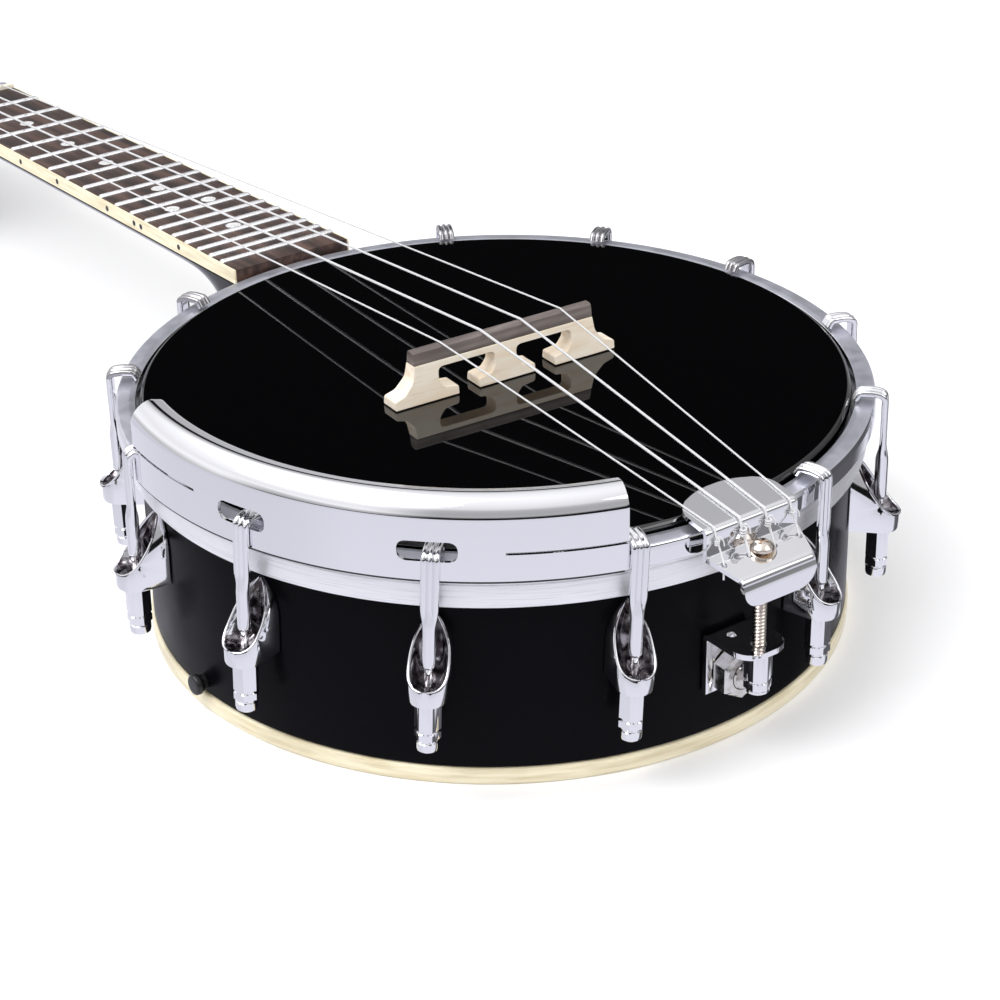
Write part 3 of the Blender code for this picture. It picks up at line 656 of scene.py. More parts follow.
def shoe_mesh():
    """A cast shoe: a round collar below, and a pointed scoop with a rolled lip above it."""
    lip, half, front_edge = 0.45, 5.15, 117.15
    low, rim_low, tip, back = 31.4, 36.6, 53.6, wall + wall_gap
    reach = front_edge - 104.0
    middle = front_edge - half

    def lid(r):
        """Height of the scoop's lip, flat in front and steep near the wall, and its slope."""
        t = max((front_edge - r) / reach, 0.0)
        return rim_low + (tip - rim_low) * t ** 1.6, (tip - rim_low) / reach * 1.6 * t ** 0.6

    steps = 12
    right = []
    for i in range(steps + 1):
        t = pi / 2 * i / steps
        r = middle + half * cos(t)
        right.append(Vector((half * sin(t), r, lid(r)[0])))
    knee = right[-1].z
    for i in range(1, steps + 1):
        u = i / steps
        r = middle + (104.0 - middle) * u
        right.append(Vector((half * (1 - u ** 3.1), r, lid(r)[0])))

    outward = []
    for i, point in enumerate(right):
        slope = lid(point.y)[1]
        if i in (0, len(right) - 1):
            outward.append(Vector((0, 1, -slope) if i == 0 else (0, -1, slope)).normalized())
            continue
        upward = Vector((0, slope, 1)).normalized()
        outward.append((right[i + 1] - right[i - 1]).cross(upward).normalized())
    rise = Vector((0, 1.0, 1)).normalized()

    # Each entry is a place on the lip, its outward direction and the foot it stands on.
    entries = []
    for i in range(steps + 1):
        entries.append((right[i], outward[i], Vector((right[i].x, right[i].y, low))))
    for k in range(1, 6):
        foot = Vector((half, middle + (back - middle) * k / 5, low))
        entries.append((right[steps], outward[steps], foot))
    for k in range(1, 5):
        foot = Vector((half, back, low + (knee - low) * k / 4))
        entries.append((right[steps], outward[steps], foot))
    for i in range(steps + 1, 2 * steps + 1):
        entries.append((right[i], outward[i], Vector((right[i].x, back, right[i].z))))

    centre = Vector((0, 110.6, 0))
    centre.z = lid(centre.y)[0] + 1.0

    def pocket(point, shrink, depth):
        room = max(point.y - back - 0.8, 0.0) / (front_edge - back)
        return centre + (point - centre) * shrink - rise * depth * room ** 0.8

    columns = []
    for point, out, foot in entries:
        column = [pocket(centre, 0.0, 7.0)]
        for shrink, depth in ((0.22, 6.9), (0.42, 6.5), (0.60, 5.6), (0.74, 4.2), (0.84, 2.4)):
            column.append(pocket(point, shrink, depth))
        for k in range(7):
            a = pi * k / 6
            column.append(point - out * lip * cos(a) + rise * lip * sin(a))
        down = (foot - point).normalized()
        column.append(point + down * 0.45 + out * 0.05)
        raised = foot.z < low + 0.01
        column.append(foot + Vector((0, 0, 0.7 if raised else 0.0)))
        hub = Vector((0, min(foot.y, middle), foot.z))
        column.append(foot + (hub - foot) * 0.03 + Vector((0, 0, 0.2)) if raised else foot)
        column.append(foot + (hub - foot) * 0.14 if raised else foot)
        columns.append(column)
    mirror = Matrix.Diagonal((-1, 1, 1))
    columns += [[mirror @ point for point in column] for column in columns[-2:0:-1]]
    rings = [[(column[k].x, -column[k].y, column[k].z) for column in columns]
             for k in range(len(columns[0]))]
    total = len(columns)
    corner = steps + 5
    under = list(range(0, corner + 1)) + list(range(total - corner, total))
    behind = list(range(corner, total - corner + 1))
    return loft(rings, caps=False, end_faces=(under, behind))


def make_hooks():
    hook, shoe = hook_mesh(), shoe_mesh()
    hook.set_sharp_from_angle(angle=radians(50))
    # A copy of the strap for hooks 5, 6 and 10 to 12, with painted shade on its upper faces.
    painted_shade_hook = hook.copy()
    nut = long_nut_mesh(across_flats=6.2, top=31.2, waist=22.2, bottom=15.8)
    nut.transform(moved(0, -hook_rod, 0))
    nut.set_sharp_from_angle(angle=radians(24))
    shoe.set_sharp_from_angle(angle=radians(48))
    pivot = moved(0, -hook_rod, 48)
    nudge = {6: -1.1, 11: -0.7, 12: -1.2}       # degrees
    for number in range(1, 13):
        place = turned(cad_angle(f"hook_{number}") + radians(nudge.get(number, 0.0)))
        lean = radians(2.5 if number < 6 else 0.6)
        leant = place @ pivot @ turned(lean, "Y") @ pivot.inverted()
        far = 4 < number < 7 or number > 9
        piece(f"hook_strap_{number}", painted_shade_hook if far else hook, "chrome", pose=leant,
              stands_for=f"hook_{number}")
        piece(f"hook_nut_{number}", nut, "chrome", pose=leant)
        piece(f"hook_shoe_{number}", shoe, "chrome", pose=leant, stands_for=f"shoe_{number}")
    # Painted shade: on that copy, faces above 72 mm take the darker chrome.
    painted_shade_hook.materials.append(finishes["painted_shade_chrome"].material)
    painted_shade_from = 72.0 * mm
    for polygon in painted_shade_hook.polygons:
        polygon.material_index = int(polygon.center.z > painted_shade_from)
    # Painted shade: faces inside the shoes' scoops take the darker chrome.
    shoe.materials.append(finishes["dark_chrome"].material)
    hollow, hollow_half = Vector((0, -110.6, 44.0)) * mm, 4.6 * mm
    for polygon in shoe.polygons:
        inward = polygon.normal.dot(hollow - polygon.center) > 0
        polygon.material_index = int(inward and abs(polygon.center.x) < hollow_half)


# ---- armrest ----
def make_armrest():
    low, high = cad_box("armrest")
    outside, thick, shoulder = 110.2, 1.0, 82.8
    crown = high.z
    outer = spline([(99.7, crown - 2.3), (100.7, crown - 0.95), (102.6, crown - 0.35),
                    (104.6, crown - 0.02), (107.0, crown - 0.90), (109.0, crown - 2.7),
                    (outside - 0.15, shoulder + 0.9), (outside, shoulder)], 4)
    outer += [(outside, shoulder - 0.4), (outside, low.z)]
    inner = []
    for i, point in enumerate(outer):
        ahead = Vector(outer[min(i + 1, len(outer) - 1)]) - Vector(outer[max(i - 1, 0)])
        inner.append(Vector(point) + Vector((ahead.y, -ahead.x)).normalized() * thick)
    start, end = radians(-98.6), radians(-18.1)
    shell = lathe([Vector(p) for p in outer] + inner[::-1], 160, start, end - start)

    tools = []
    slot_low, slot_high, slot_half = 71.2, 76.9, 7.9
    for hook in ("hook_2", "hook_3"):
        outline = rounded([(-slot_half, slot_low), (slot_half, slot_low), (slot_half, slot_high),
                           (-slot_half, slot_high)], 2.75, 8)
        tool = slab(outline, -outside - 3, -outside + 4, front)
        tool.transform(turned(cad_angle(hook)))
        tools.append(tool)
    for first, last, height in ((start, start + radians(17.0), 75.9),
                                (end - radians(16.5), end, 73.7)):
        overshoot = radians(1.0)
        first -= overshoot if first == start else 0
        last += overshoot if last == end else 0
        tools.append(lathe([(outside - 4, height - 0.36), (outside + 3, height - 0.36),
                            (outside + 3, height + 0.36), (outside - 4, height + 0.36)],
                           34, first, last - first))
    piece("armrest_cover", carve(shell, tools), "chrome", stands_for="armrest", soften=0.22,
          finish="soft_chrome")
    # Painted shadow: a thin black strip under the armrest's lower edge stands for the shaded gap
    # between the armrest and the hoop.
    painted_shadow_strip = lathe(rounded([(109.1, low.z + 2.0), (outside - 0.25, low.z + 2.0),
                          (outside - 0.25, low.z - 0.75), (109.1, low.z - 0.75)], 0.2, 3),
                 160, start + 0.01, end - start - 0.02)
    piece("armrest_painted_shadow_strip", painted_shadow_strip, "black_plastic")


# ---- tailpiece, bracket and coordinator rod ----
def make_tailpiece():
    half, sheet, tip = 15.4, 1.3, 96.2
    arc_start = 105.4
    flange_reach, flange_low = 123.55, 54.5

    def crown_height(r):
        return 75.05 - 0.14 * (r - tip)

    crown = [tip + (arc_start - tip) * (1 - cos(pi / 2 * k / 14)) for k in range(15)]
    rest = rounded([(arc_start + 2, crown_height(arc_start + 2)), (111.9, 72.85, 1.4),
                    (111.9, 65.4, 1.0), (122.8, 62.1, 2.1), (flange_reach, flange_low)], 1, 8,
                   closed=False)
    foot = [Vector((flange_reach, flange_low + 5.5 * k / 10)) for k in range(9, -1, -1)]
    path = [Vector((r, crown_height(r))) for r in crown] + rest[:-1] + foot
    flange = 12.25
    corner = 5.4

    def half_width(i, point):
        if i < len(crown):
            depth = min(max(1 - (point.x - tip) / (arc_start - tip), 0.0), 1.0)
            return max(half * (1 - depth ** 2.3) ** (1 / 2.1), 2.2)
        if point.x > 122.5 and point.y < 60.2:
            drop = max(flange_low + corner - point.y, 0.0)
            return flange - corner + sqrt(max(corner ** 2 - drop ** 2, 0.0))
        return half + (flange - half) * ease(116.5, 122.6, point.x)

    plate = folded(path, half_width, sheet, 32)
    holes = [bar((x, screw_y, 70), (x, screw_y, 58), 0.9, 24)
             for x in ((n - 1.5) * string_gap for n in range(4))]
    holes.append(bar((0, screw_y, 70), (0, screw_y, 58), 2.3))
    piece("tailpiece_plate", carve(plate, holes, folds=True), "chrome",
          stands_for="tailpiece", soften=0.28)

    slope = atan(3.3 / 10.9)               # of the tray that the screw goes through
    washer = lathe([(1.95, 0.0), (1.95, 0.55), (3.7, 0.55), (3.9, 0.35), (3.9, 0.0)], 48)
    pose = moved(0, screw_y, 64.75) @ turned(slope, "X")
    piece("tail_screw_washer", washer, "nickel", pose=pose, sharp=40)


def make_tail_screw():
    """Pan head with a cross recess, and a shaft with a real thread."""
    pitch, root, depth = 1.05, 1.40, 0.50
    top, bottom = 65.6, screw_low.z
    per_turn, around_count = 8, 24
    rings = []
    levels = int((top - bottom) / pitch * per_turn)
    for k in range(levels + 1):
        z = top - (top - bottom) * k / levels
        ring = []
        for j in range(around_count):
            a = tau * j / around_count
            phase = (z / pitch - j / around_count) % 1.0
            reach = root + depth * (1 - abs(2 * phase - 1))
            ring.append((reach * cos(a), reach * sin(a), z))
        rings.append(ring)
    thread = loft(rings)
    crown, base = screw_high.z, 65.4
    head = lathe(rounded([(0, crown, 0), (1.9, crown - 0.1, 2.0), (3.2, base + 0.9, 0.5),
                          (3.35, base, 0.15), (0, base, 0)], 0.2, 6), 48)
    arms = []
    for quarter in (0, 1):
        arm = slab(rounded([(-1.75, -0.34), (1.75, -0.34), (1.75, 0.34), (-1.75, 0.34)], 0.2),
                   crown - 1.1, crown + 1.0)
        arm.transform(turned(pi / 2 * quarter + 0.5))
        arms.append(arm)
    head = carve(head, arms)
    pose = moved(0, screw_y, 0)
    piece("tail_screw_thread", thread, "nickel", "tail_screw", pose=pose, sharp=60,
          stands_for="tail_screw")
    piece("tail_screw_head", head, "nickel", "tail_screw", pose=pose, soften=0.12)


def make_bracket():
    low, high = cad_box("tail_bracket")
    half, sheet, fixing = high.x, 1.6, (-2.6, -108.6)
    reach, top = -low.y, high.z - sheet / 2
    corner = 6.2
    leg = wall + wall_gap + sheet / 2
    path = rounded([(leg, low.z), (leg, top, 1.5), (reach - corner, top)], 1, 6, closed=False)
    path += [Vector((reach - corner + corner * sin(pi / 2 * k / 12), top))
             for k in range(1, 13)]

    def half_width(_, point):
        over = max(point.x - (reach - corner), 0.0)
        return half - corner + sqrt(max(corner ** 2 - over ** 2, 0.0))

    plate = folded(path, half_width, sheet, 24)
    holes = [bar((0, screw_y, 40), (0, screw_y, 30), 2.2),
             bar((*fixing, 40), (*fixing, 30), 1.35),
             rod_bore(-110, -98)]
    piece("bracket_plate", carve(plate, holes), "chrome", stands_for="tail_bracket", soften=0.25)

    nut = carve(long_nut_mesh(6.6, high.z - sheet - 0.2, 26.3, 22.2),
                [bar((0, 0, 20), (0, 0, 40), 2.0)])
    pose = moved(0, screw_y, 0) @ turned(radians(30))
    piece("bracket_long_nut", nut, "chrome", stands_for="tail_nut", pose=pose, sharp=24)


def make_coordinator():
    low, high = cad_box("coordinator_rod")
    middle = rod_height
    rod = tube([(0, low.y, middle), (0, low.y + 0.4, middle), (0, high.y - 0.4, middle),
                (0, high.y, middle)], [3.6, 4.0, 4.0, 3.6], 40)
    piece("coordinator_bar", rod, "zinc", stands_for="coordinator_rod", sharp=40)

    low, high = cad_box("rod_nut")
    flats, corner, face = 12.8, 7.4, 5.9
    rings = [[(x, y, middle + z) for x, z in hexagon(flats, limit)] for y, limit in (
        (low.y, face), (low.y + 0.9, corner), (high.y - 0.9, corner), (high.y, face))]
    nut = carve(loft(rings), [rod_bore(low.y - 2, high.y + 2, 4.2)])
    piece("coordinator_nut", nut, "zinc", stands_for="rod_nut", sharp=24)


def make_strap_button():
    """A small black pin beside the back's edge."""
    low, high = cad_box("strap_button")
    pin = lathe(rounded([(0, 4.0, 0), (2.9, 4.0, 1.2), (3.1, 2.4, 0.8), (2.3, 1.2, 0.6), (2.3, 0),
                         (0, 0, 0)], 0.4, 5), 40)
    angle = cad_angle("strap_button")
    pose = (turned(angle) @ moved(0, -(wall + wall_gap), (low.z + high.z) / 2)
            @ turned(pi / 2, "X"))
    piece("strap_pin", pin, "black_plastic", stands_for="strap_button", pose=pose, sharp=50)


# ---- neck ----
def board_half(y):
    return 21.3 + (18.0 - 21.3) * y / nut_local


def fret_y(number):
    return bridge_place + scale_length * 2 ** (-number / 12) - neck_start


def make_fretboard():
    start, end, thick, strip = -6.4, nut_local - 0.3, 4.8, 0.7
    a, b = board_half(start) - strip - 0.05, board_half(end) - strip - 0.05
    outline = [(-a, start), (a, start), (b, end), (-b, end)]
    piece("fingerboard", slab(outline, -thick, 0.0), "rosewood", stands_for="fretboard",
          pose=neck_pose, soften=0.15)

    a, b = board_half(start), board_half(end)
    strips = []
    for hand in (-1, 1):
        outline = [(hand * a, start), (hand * b, end), (hand * (b - strip), end),
                   (hand * (a - strip), start)]
        strips.append(slab(outline[::-hand], -thick, 0.02))
    piece("fingerboard_binding", merged(*strips), "fretboard_cream",
          stands_for="fretboard_binding", pose=neck_pose, soften=0.30)

    for number in range(1, 19):
        y, half = fret_y(number), board_half(fret_y(number)) - 0.45
        bead = [(y + 1.05 * cos(pi * k / 10), 0.04 + 0.88 * sin(pi * k / 10))
                for k in range(11)]
        rings = [[side(p, q * shrink, x) for p, q in bead]
                 for x, shrink in ((-half, 0.25), (-half + 0.35, 0.85), (-half + 0.8, 1.0),
                                   (half - 0.8, 1.0), (half - 0.35, 0.85), (half, 0.25))]
        piece(f"fret_{number}", loft(rings), "chrome", pose=neck_pose, sharp=60, finish="fret_wire")

    for number in (3, 5, 7, 10, 12, 15):
        middle = (fret_y(number) + fret_y(number - 1)) / 2
        for k, shift in enumerate((-1, 1) if number == 12 else (0,), start=1):
            disc = lathe([(0, 0.09), (2.35, 0.09), (2.55, 0.02), (2.55, -0.4), (0, -0.4)], 40)
            piece(f"face_dot_{number}_{k}", disc, "pearloid",
                  pose=neck_pose @ moved(shift * 7.0, middle, 0), sharp=40)
            y = middle + shift * 2.4
            edge = -board_half(y)
            peg = bar((edge - 0.06, y, -2.4), (edge + 0.9, y, -2.4), 0.95, 24)
            piece(f"side_dot_{number}_{k}", peg, "black_plastic", pose=neck_pose, sharp=40)


def make_neck():
    """A shaft that deepens into the heel, closed under the fingerboard."""
    top = -5.1
    stations = spline([
        (-16.0, 54.0, 0.62), (-4.0, 52.0, 0.70), (3.0, 41.0, 0.95), (9.0, 29.0, 1.25),
        (17.0, 20.0, 1.50), (29.0, 16.0, 1.70), (60.0, 15.0, 1.75), (120.0, 14.2, 1.73),
        (195.0, 13.5, 1.70), (216.0, 14.0, 1.30), (225.0, 14.8, 0.95)], 5)
    steps = 36
    rings = []
    for y, depth, square in stations:
        half = board_half(max(y, 0.0))
        ring = []
        for i in range(steps + 1):
            a = pi * i / steps
            x = half * copysign(abs(cos(a)) ** square, cos(a))
            ring.append((x, y, top - depth * abs(sin(a)) ** square))
        rings.append(ring)
    shaft = loft(rings)
    shaft.transform(neck_pose)
    pot = lathe([(0, 200), (wall + wall_gap, 200), (wall + wall_gap, -20), (0, -20)])
    hoops = lathe([(0, 200), (hoop_high.x + 0.3, 200), (hoop_high.x + 0.3, 55.7), (0, 55.7)])
    shaft = carve(shaft, [pot, hoops, rod_bore(90, 117.5)])
    piece("neck_shaft", shaft, "neck_lacquer", stands_for="neck", sharp=35)

    thick, width, length = 13.0, 29.0, 118.0
    right = [(18.2, -1.0, 0), (18.6, 8.0, 6), (width, 25.0, 9), (width - 1.2, 60.0, 30),
             (26.2, 100.0, 8), (14.0, length, 10)]
    left = [(-x, y, radius) for x, y, radius in reversed(right)]
    outline = [left[-1]] + right + [(0, length - 3.5, 7)] + left[:-1]
    plate = slab(rounded(outline, 4, 8), -thick, 0.0)
    holes = [bar((x, y, -30), (x, y, 20), 3.5) for x, y in tuner_places]
    piece("headstock", carve(plate, holes), "neck_lacquer", pose=headstock_pose, soften=0.8)

    seat, near, far = -4.8, nut_local + 0.1, nut_local + 5.0
    profile = [(far, seat, 0), (far, 0.1, 0.8), (nut_local + 2.2, 1.25, 1.6),
               (near, nut_height, 0.4), (near, seat, 0)]
    nut = slab(rounded(profile, 0.5, 6), -18.0, 18.0, side)
    piece("nut_saddle", nut, "bone", stands_for="string_nut", pose=neck_pose, soften=0.25)


# ---- tuners ----
def make_tuners():
    back, depth = -13.3, 9.0
    shaft = back - depth / 2 - 0.5
    for number, (x, y) in enumerate(tuner_places, start=1):
        hand = copysign(1, x)
        here = headstock_pose @ moved(x, y, 0)
        post = lathe(rounded([(0, 13.0, 0), (2.4, 13.0, 0.5), (3.0, 12.2, 0.5), (3.0, 9.8, 0.4),
                              (2.2, 9.0, 0.8), (2.2, 6.0, 0.8), (3.0, 5.0, 0.4), (3.0, -13.0, 0),
                              (0, -13.0, 0)], 0.3), 48)
        eye = bar((-5, 0, 7.5), (5, 0, 7.5), 0.8, 20)
        piece(f"post_{number}", carve(post, [eye]), "chrome", f"tuner_post_{number}",
              stands_for=f"tuner_post_{number}", pose=here, sharp=35)

        ring = lathe(rounded([(3.45, 0.02), (3.45, 1.9), (4.6, 1.9, 0.5), (5.6, 0.5, 0.4),
                              (6.2, 0.02)], 0.15), 48)
        piece(f"post_bushing_{number}", ring, "chrome", pose=here, sharp=35)

        outline = rounded([(-6.0, -8.0), (6.0, -8.0), (6.0, 8.0), (-6.0, 8.0)], 2.6, 6)
        case = loft([[(p.x * k, p.y * k, z) for p in outline] for z, k in (
            (back, 1.0), (back - depth + 2.2, 1.0), (back - depth + 0.8, 0.94),
            (back - depth + 0.15, 0.82), (back - depth, 0.7))])
        bore = bar((hand * 2.0, 0, shaft), (hand * 9.0, 0, shaft), 1.9, 24)
        piece(f"gear_case_{number}", carve(case, [bore]), "chrome",
              stands_for=f"tuner_housing_{number}", pose=here, soften=0.3)

        turn = turned(hand * pi / 2, "Y")
        axis = here @ moved(0, 0, shaft) @ turn
        stem = lathe(rounded([(0, 25.5, 0), (1.5, 25.5, 0), (1.5, 10.0, 0.2), (2.4, 9.2, 0.3),
                              (2.4, 7.2, 0.3), (1.5, 6.4, 0.2), (1.5, -2.0), (0, -2.0, 0)], 0.3),
                     32)
        body = f"tuner_button_{number}"
        piece(f"button_stem_{number}", stem, "chrome", body, stands_for=body, pose=axis, sharp=35)
        rings = []
        for t in range(15):
            a = pi * t / 14
            z = 29.2 - 5.3 * cos(a)
            swell = sin(a) ** 0.55
            rings.append([(8.0 * swell * cos(b), 4.3 * swell * sin(b), z)
                          for b in (tau * k / 48 for k in range(48))])
        piece(f"button_grip_{number}", loft(rings), "pearloid", body, pose=axis, sharp=60)


# ---- bridge ----
def make_bridge():
    half, joint = 37.2, bridge_height - cap_height
    toe, arch_top, foot = 2.6, 9.4, 9.5
    next_foot = 2 * 12.9 - foot
    arch_wall = 3.6
    right = [
        (foot, 0, 0.3), (foot, toe, 0.8), (arch_wall + 1.6, toe + 0.6, 1.2),
        (arch_wall, toe + 3.0, 2.6), (arch_wall, arch_top, 3.1), (next_foot + 6.2, arch_top, 3.1),
        (next_foot + 6.2, toe + 3.0, 2.6), (next_foot + 4.6, toe + 0.6, 1.2),
        (next_foot, toe, 0.8), (next_foot, 0, 0.3), (half, 0, 0.3), (half, toe, 0.8),
        (half - 3.4, toe + 1.0, 2.5), (half - 6.4, toe + 4.4, 4.0), (half - 7.0, joint, 0)]
    outline = rounded(right + [(-x, z, r) for x, z, r in reversed(right)], 1, 5)
    levels = []
    for level in (-3.5, 3.5):
        levels.append([(x, level * (1 - 0.38 * z / joint), z) for x, z in outline])
    piece("bridge_maple", loft(levels), "maple", stands_for="bridge_body", pose=bridge_pose,
          soften=0.22)

    end = half - 7.0
    profile = [(2.15, joint + 0.03), (1.55, bridge_height - 0.9), (0.9, saddle_height)]
    profile += [(-y, z) for y, z in reversed(profile)]
    cap = loft([[(x, y, z) for y, z in rounded(profile, 0.4)] for x in (-end, end)])
    piece("bridge_ebony", cap, "ebony", stands_for="bridge_cap", pose=bridge_pose, soften=0.30)


# ---- strings ----
def coil(low, radius, turns, rise, start, steps=20):
    """Points of a helix about Z that starts at a height."""
    points = []
    for k in range(int(turns * steps) + 1):
        a = start + tau * k / steps
        points.append(Vector((radius * cos(a), radius * sin(a), low + rise * k / steps)))
    return points


def make_strings():
    radii = (0.27, 0.40, 0.36, 0.27)
    bridge_spacing, nut_spacing = 13.54, 8.7
    for number, radius in enumerate(radii, start=1):
        step = number - 2.5
        x = step * string_gap
        lift = radius + 0.02
        saddle = turned(bridge_turn) @ Vector((step * bridge_spacing, 0, 0))
        saddle += Vector((0, bridge_place, bridge_foot + saddle_height + lift))
        nut = Vector((step * nut_spacing, nut_local + 1.2, nut_height + lift))
        nut = neck_pose @ (nut * mm) / mm
        post_x, post_y = tuner_places[number - 1]
        inward = -copysign(1, post_x)
        reach = 2.2 + radius
        leave = headstock_pose @ (Vector((post_x + inward * reach, post_y, 7.6)) * mm) / mm
        edge_top = Vector((x, -112.3, 73.55 + lift))
        break_low = Vector((x, -112.75 - lift, 71.6))
        tray = Vector((x, screw_y, 64.7 + lift))
        path = [Vector((x, screw_y, 60.5)), Vector((x, screw_y, 63.6)), tray,
                Vector((x + 0.3, -114.4, 68.2)), break_low, Vector((x, -112.65, 72.9)),
                edge_top, Vector((x, -111.2, 73.75 + lift))]
        path = [Vector(p) for p in spline(path, 4)]
        path += [saddle.lerp(path[-1], t) for t in (0.98, 0.5, 0.02)]
        path += [saddle, nut.lerp(saddle, 0.98), nut.lerp(saddle, 0.5), nut.lerp(saddle, 0.01), nut]
        path += [leave.lerp(nut, 0.97), leave.lerp(nut, 0.03), leave]
        mesh = tube(path, radius * 0.999, 12)

        knot = coil(0, radius * 1.9, 3.2, radius * 2.0, 0.0, 14)
        tilt = Matrix.Translation((x - 0.1, -113.3 - lift, 69.3)) @ turned(0.12, "X")
        knot = [tilt @ p for p in knot]
        tail = [knot[-1], knot[-1] + Vector((0.5, -0.5, 0.6)), knot[-1] + Vector((1.2, -0.9, -0.6)),
                knot[-1] + Vector((1.5, -1.0, -2.2))]
        twist = tube([Vector(p) for p in spline(knot[::2] + tail[1:], 4)], radius * 0.72, 8)
        piece(f"gut_string_{number}", merged(mesh, twist), "nylon",
              stands_for=f"string_{number}", sharp=60)

        wraps = coil(6.5, reach, 3.0, radius * 2.1, 0.0 if inward > 0 else pi)
        pose = headstock_pose @ moved(post_x, post_y, 0)
        piece(f"string_coil_{number}", tube(wraps, radius * 0.98, 10), "nylon",
              f"tuner_post_{number}", pose=pose, sharp=60)


# ---- studio ----
class Reflected:
    """What polished surfaces see in a direction: soft grey walls and a bright ceiling, with a
    dark doorway straight ahead, a dark band low behind the camera and dark to its right."""

    def __init__(self, tree, direction):
        self.tree = tree
        parts = add_node(tree, "SeparateXYZ", {"Vector": direction})
        x, y, z = (parts.outputs[name] for name in "XYZ")
        self.climb = self.times(self.compute("ARCSINE", z), 180 / pi)
        flatness = self.compute("SQRT", self.rest(self.times(z, z)))
        flatness = self.compute("MAXIMUM", flatness, 0.01)

        def toward(along_x, along_y):
            total = self.compute("ADD", self.times(x, along_x), self.times(y, along_y))
            return self.compute("DIVIDE", total, flatness)

        self.ahead = toward(-sin(camera_azimuth), cos(camera_azimuth))
        self.right = toward(cos(camera_azimuth), sin(camera_azimuth))
        self.behind = self.times(self.ahead, -1.0)
        self.left = self.times(self.right, -1.0)

    def compute(self, operation, *values):
        return add_node(self.tree, "Math", dict(enumerate(values)),
                        operation=operation).outputs["Value"]

    def times(self, first, second):
        return self.compute("MULTIPLY", first, second)

    def rest(self, value):
        return self.compute("SUBTRACT", 1.0, value)

    def fade(self, value, start, end):
        """Rises smoothly from 0 at start to 1 at end."""
        return add_node(self.tree, "MapRange", {"Value": value, "From Min": start, "From Max": end},
                        interpolation_type="SMOOTHSTEP").outputs["Result"]

    def within(self, facing, wide, narrow):
        """1 inside an angle from a direction, 0 outside a wider one, in degrees."""
        return self.fade(facing, cos(radians(wide)), cos(radians(narrow)))

    def below(self, start, end):
        return self.rest(self.fade(self.climb, start, end))

    def heights(self, low, high):
        return self.times(self.fade(self.climb, *low), self.below(*high))

    def strength(self):
        """Angles across and up are in degrees, each as the two ends of a soft edge."""
        doorway = self.times(self.within(self.ahead, 19, 11), self.heights((15, 19), (32, 36)))
        band = self.times(self.within(self.behind, 85, 60), self.heights((-1, 1), (13, 18)))
        beside = self.compute("ADD", self.times(self.right, 0.88), self.times(self.ahead, 0.47))
        side_wall = self.times(self.within(beside, 32, 16), self.below(5, 25))
        shade = self.times(self.within(self.left, 50, 10), self.below(-5, 5))
        dark = self.compute("MAXIMUM", doorway, band)
        dark = self.compute("MAXIMUM", dark, self.times(side_wall, 0.88))
        dark = self.compute("MAXIMUM", dark, self.times(shade, 0.10))
        window = self.times(self.within(self.left, 75, 50), self.heights((0, 14), (80, 89)))
        light = self.rest(self.times(dark, 0.985))
        return self.compute("ADD", light, self.times(window, 1.2))


def see_two_ways(tree, plain, reflected, output):
    """Everything sees the plain shader, except polished surfaces, which see the other."""
    glossy = add_node(tree, "LightPath", {}).outputs["Is Glossy Ray"]
    mix = add_node(tree, "MixShader", {"Fac": glossy, 1: plain, 2: reflected})
    tree.links.new(mix.outputs["Shader"], tree.nodes[output].inputs["Surface"])


def make_floor():
    """A pale floor; in reflections it dims away from the instrument."""
    half, low = 4.0, -0.00005
    mesh = bpy.data.meshes.new("floor")
    mesh.from_pydata([(-half, -half, low), (half, -half, low), (half, half, low),
                      (-half, half, low)], [], [(0, 1, 2, 3)])
    floor = add_object("floor", mesh)
    matte = Finish("pale_floor", (0.97, 0.97, 0.98), 0.9, Specular_IOR_Level=0.0)
    tree = matte.tree
    reach = add_node(tree, "VectorMath", {0: matte.coordinates}, operation="LENGTH")
    fall = add_node(tree, "MapRange", {"Value": reach.outputs["Value"], "From Min": 0.12,
                                       "From Max": 0.34, "To Min": 1.0, "To Max": 0.86})
    incoming = add_node(tree, "NewGeometry", {}).outputs["Incoming"]
    onward = add_node(tree, "VectorMath", {0: incoming, "Scale": -1.0}, operation="SCALE")
    seen = Reflected(tree, onward.outputs["Vector"])
    glow = add_node(tree, "Emission", {
        "Color": (0.83, 0.83, 0.93, 1.0),
        "Strength": seen.times(seen.strength(), fall.outputs["Result"])})
    see_two_ways(tree, matte.shader.outputs["BSDF"], glow.outputs["Emission"], "Material Output")
    mesh.materials.append(matte.material)


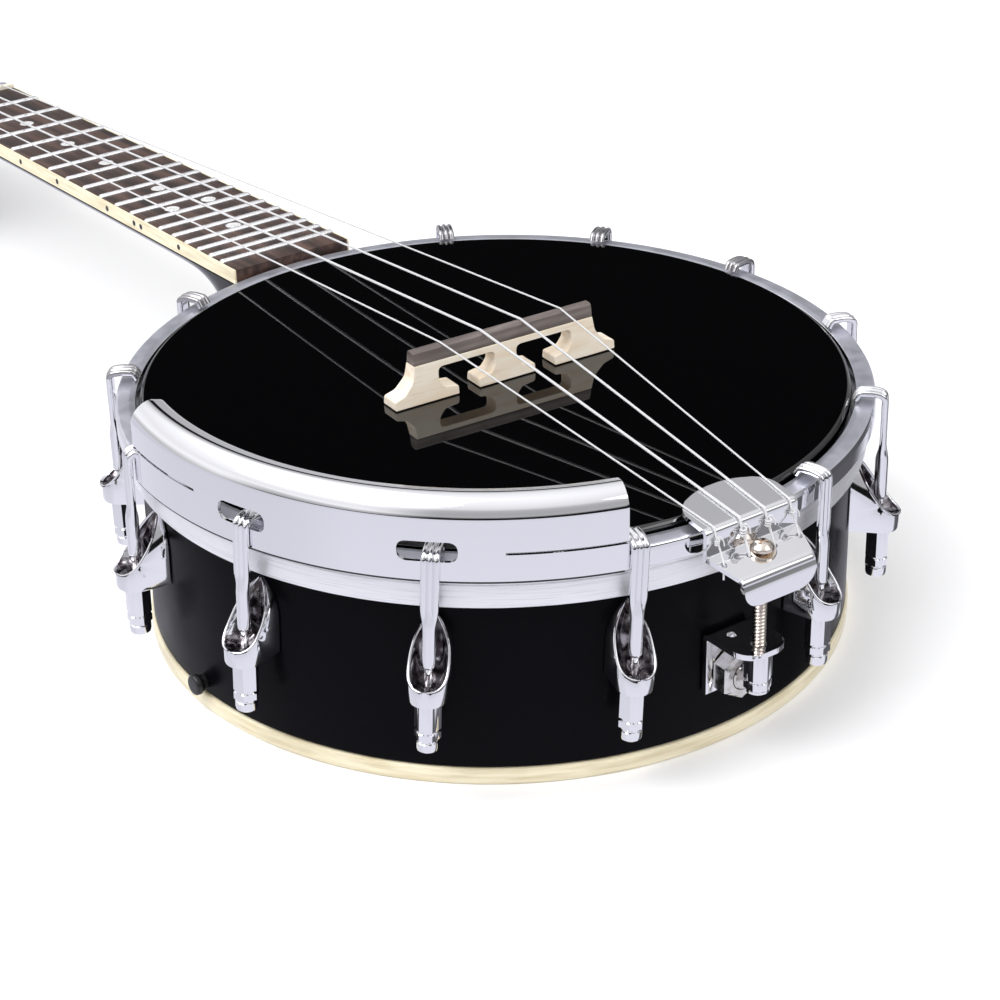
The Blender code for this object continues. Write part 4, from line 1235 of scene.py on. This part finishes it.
def make_world():
    """An even white studio, and the grey one that polished surfaces see."""
    world = bpy.data.worlds.new("studio")
    scene.world = world
    world.use_nodes = True
    tree = world.node_tree
    backdrop = tree.nodes["Background"]
    backdrop.inputs["Color"].default_value = (1.0, 1.0, 1.0, 1.0)
    backdrop.inputs["Strength"].default_value = 1.05
    seen = Reflected(tree, add_node(tree, "TexCoord", {}).outputs["Generated"])
    greys = ((0.0, 0.60), (0.10, 0.50), (0.28, 0.42), (0.44, 0.50), (0.56, 0.82), (0.75, 1.0),
             (1.0, 1.15))
    stops = [(place, (value * 0.97, value * 0.97, value)) for place, value in greys]
    walls = colour_ramp(tree, seen.compute("DIVIDE", seen.climb, 90.0), stops)
    panels = add_node(tree, "Background", {"Color": walls, "Strength": seen.strength()})
    see_two_ways(tree, backdrop.outputs["Background"], panels.outputs["Background"],
                 "World Output")


def make_lights():
    def softbox(name, azimuth, elevation, distance, width, height, power):
        light = bpy.data.lights.new(name, "AREA")
        light.shape = "RECTANGLE"
        light.size, light.size_y = width, height
        light.energy = power
        made = add_object(name, light)
        a, e = radians(azimuth), radians(elevation)
        away = Vector((sin(a) * cos(e), -cos(a) * cos(e), sin(e)))
        made.location = away * distance
        made.rotation_mode = "QUATERNION"
        made.rotation_quaternion = away.to_track_quat("Z", "Y")

    softbox("key", -95, 55, 1.3, 0.9, 0.7, 9)
    softbox("fill", 25, 40, 1.5, 0.8, 0.8, 3)


def make_camera():
    """Looks down on the pot from the tailpiece's left, as a 94 mm lens would."""
    azimuth, elevation, roll = camera_azimuth, radians(27.985), radians(-1.134)
    distance, shift_right, shift_up, aim_height = 767.47, 0.744, -3.891, 35.0
    back = Vector((sin(azimuth) * cos(elevation),
                   -cos(azimuth) * cos(elevation), sin(elevation)))
    level = Vector((cos(azimuth), sin(azimuth), 0.0))
    upright = back.cross(level)
    right = cos(roll) * level + sin(roll) * upright
    up = -sin(roll) * level + cos(roll) * upright
    place = Vector((0, 0, aim_height)) + back * distance + right * shift_right + up * shift_up
    lens = bpy.data.cameras.new("camera")
    lens.sensor_width = 36.0
    lens.lens = 93.85
    lens.clip_start, lens.clip_end = 0.01, 20.0
    camera = add_object("camera", lens)
    axes = Matrix((right, up, back)).transposed().to_4x4()
    camera.matrix_world = Matrix.Translation(place * mm) @ axes
    scene.camera = camera


make_pot()
make_hoops()
make_hooks()
make_armrest()
make_tailpiece()
make_tail_screw()
make_bracket()
make_coordinator()
make_strap_button()
make_fretboard()
make_neck()
make_tuners()
make_bridge()
make_strings()
make_floor()
make_world()
make_lights()
make_camera()
scene.view_settings.view_transform = "Standard"
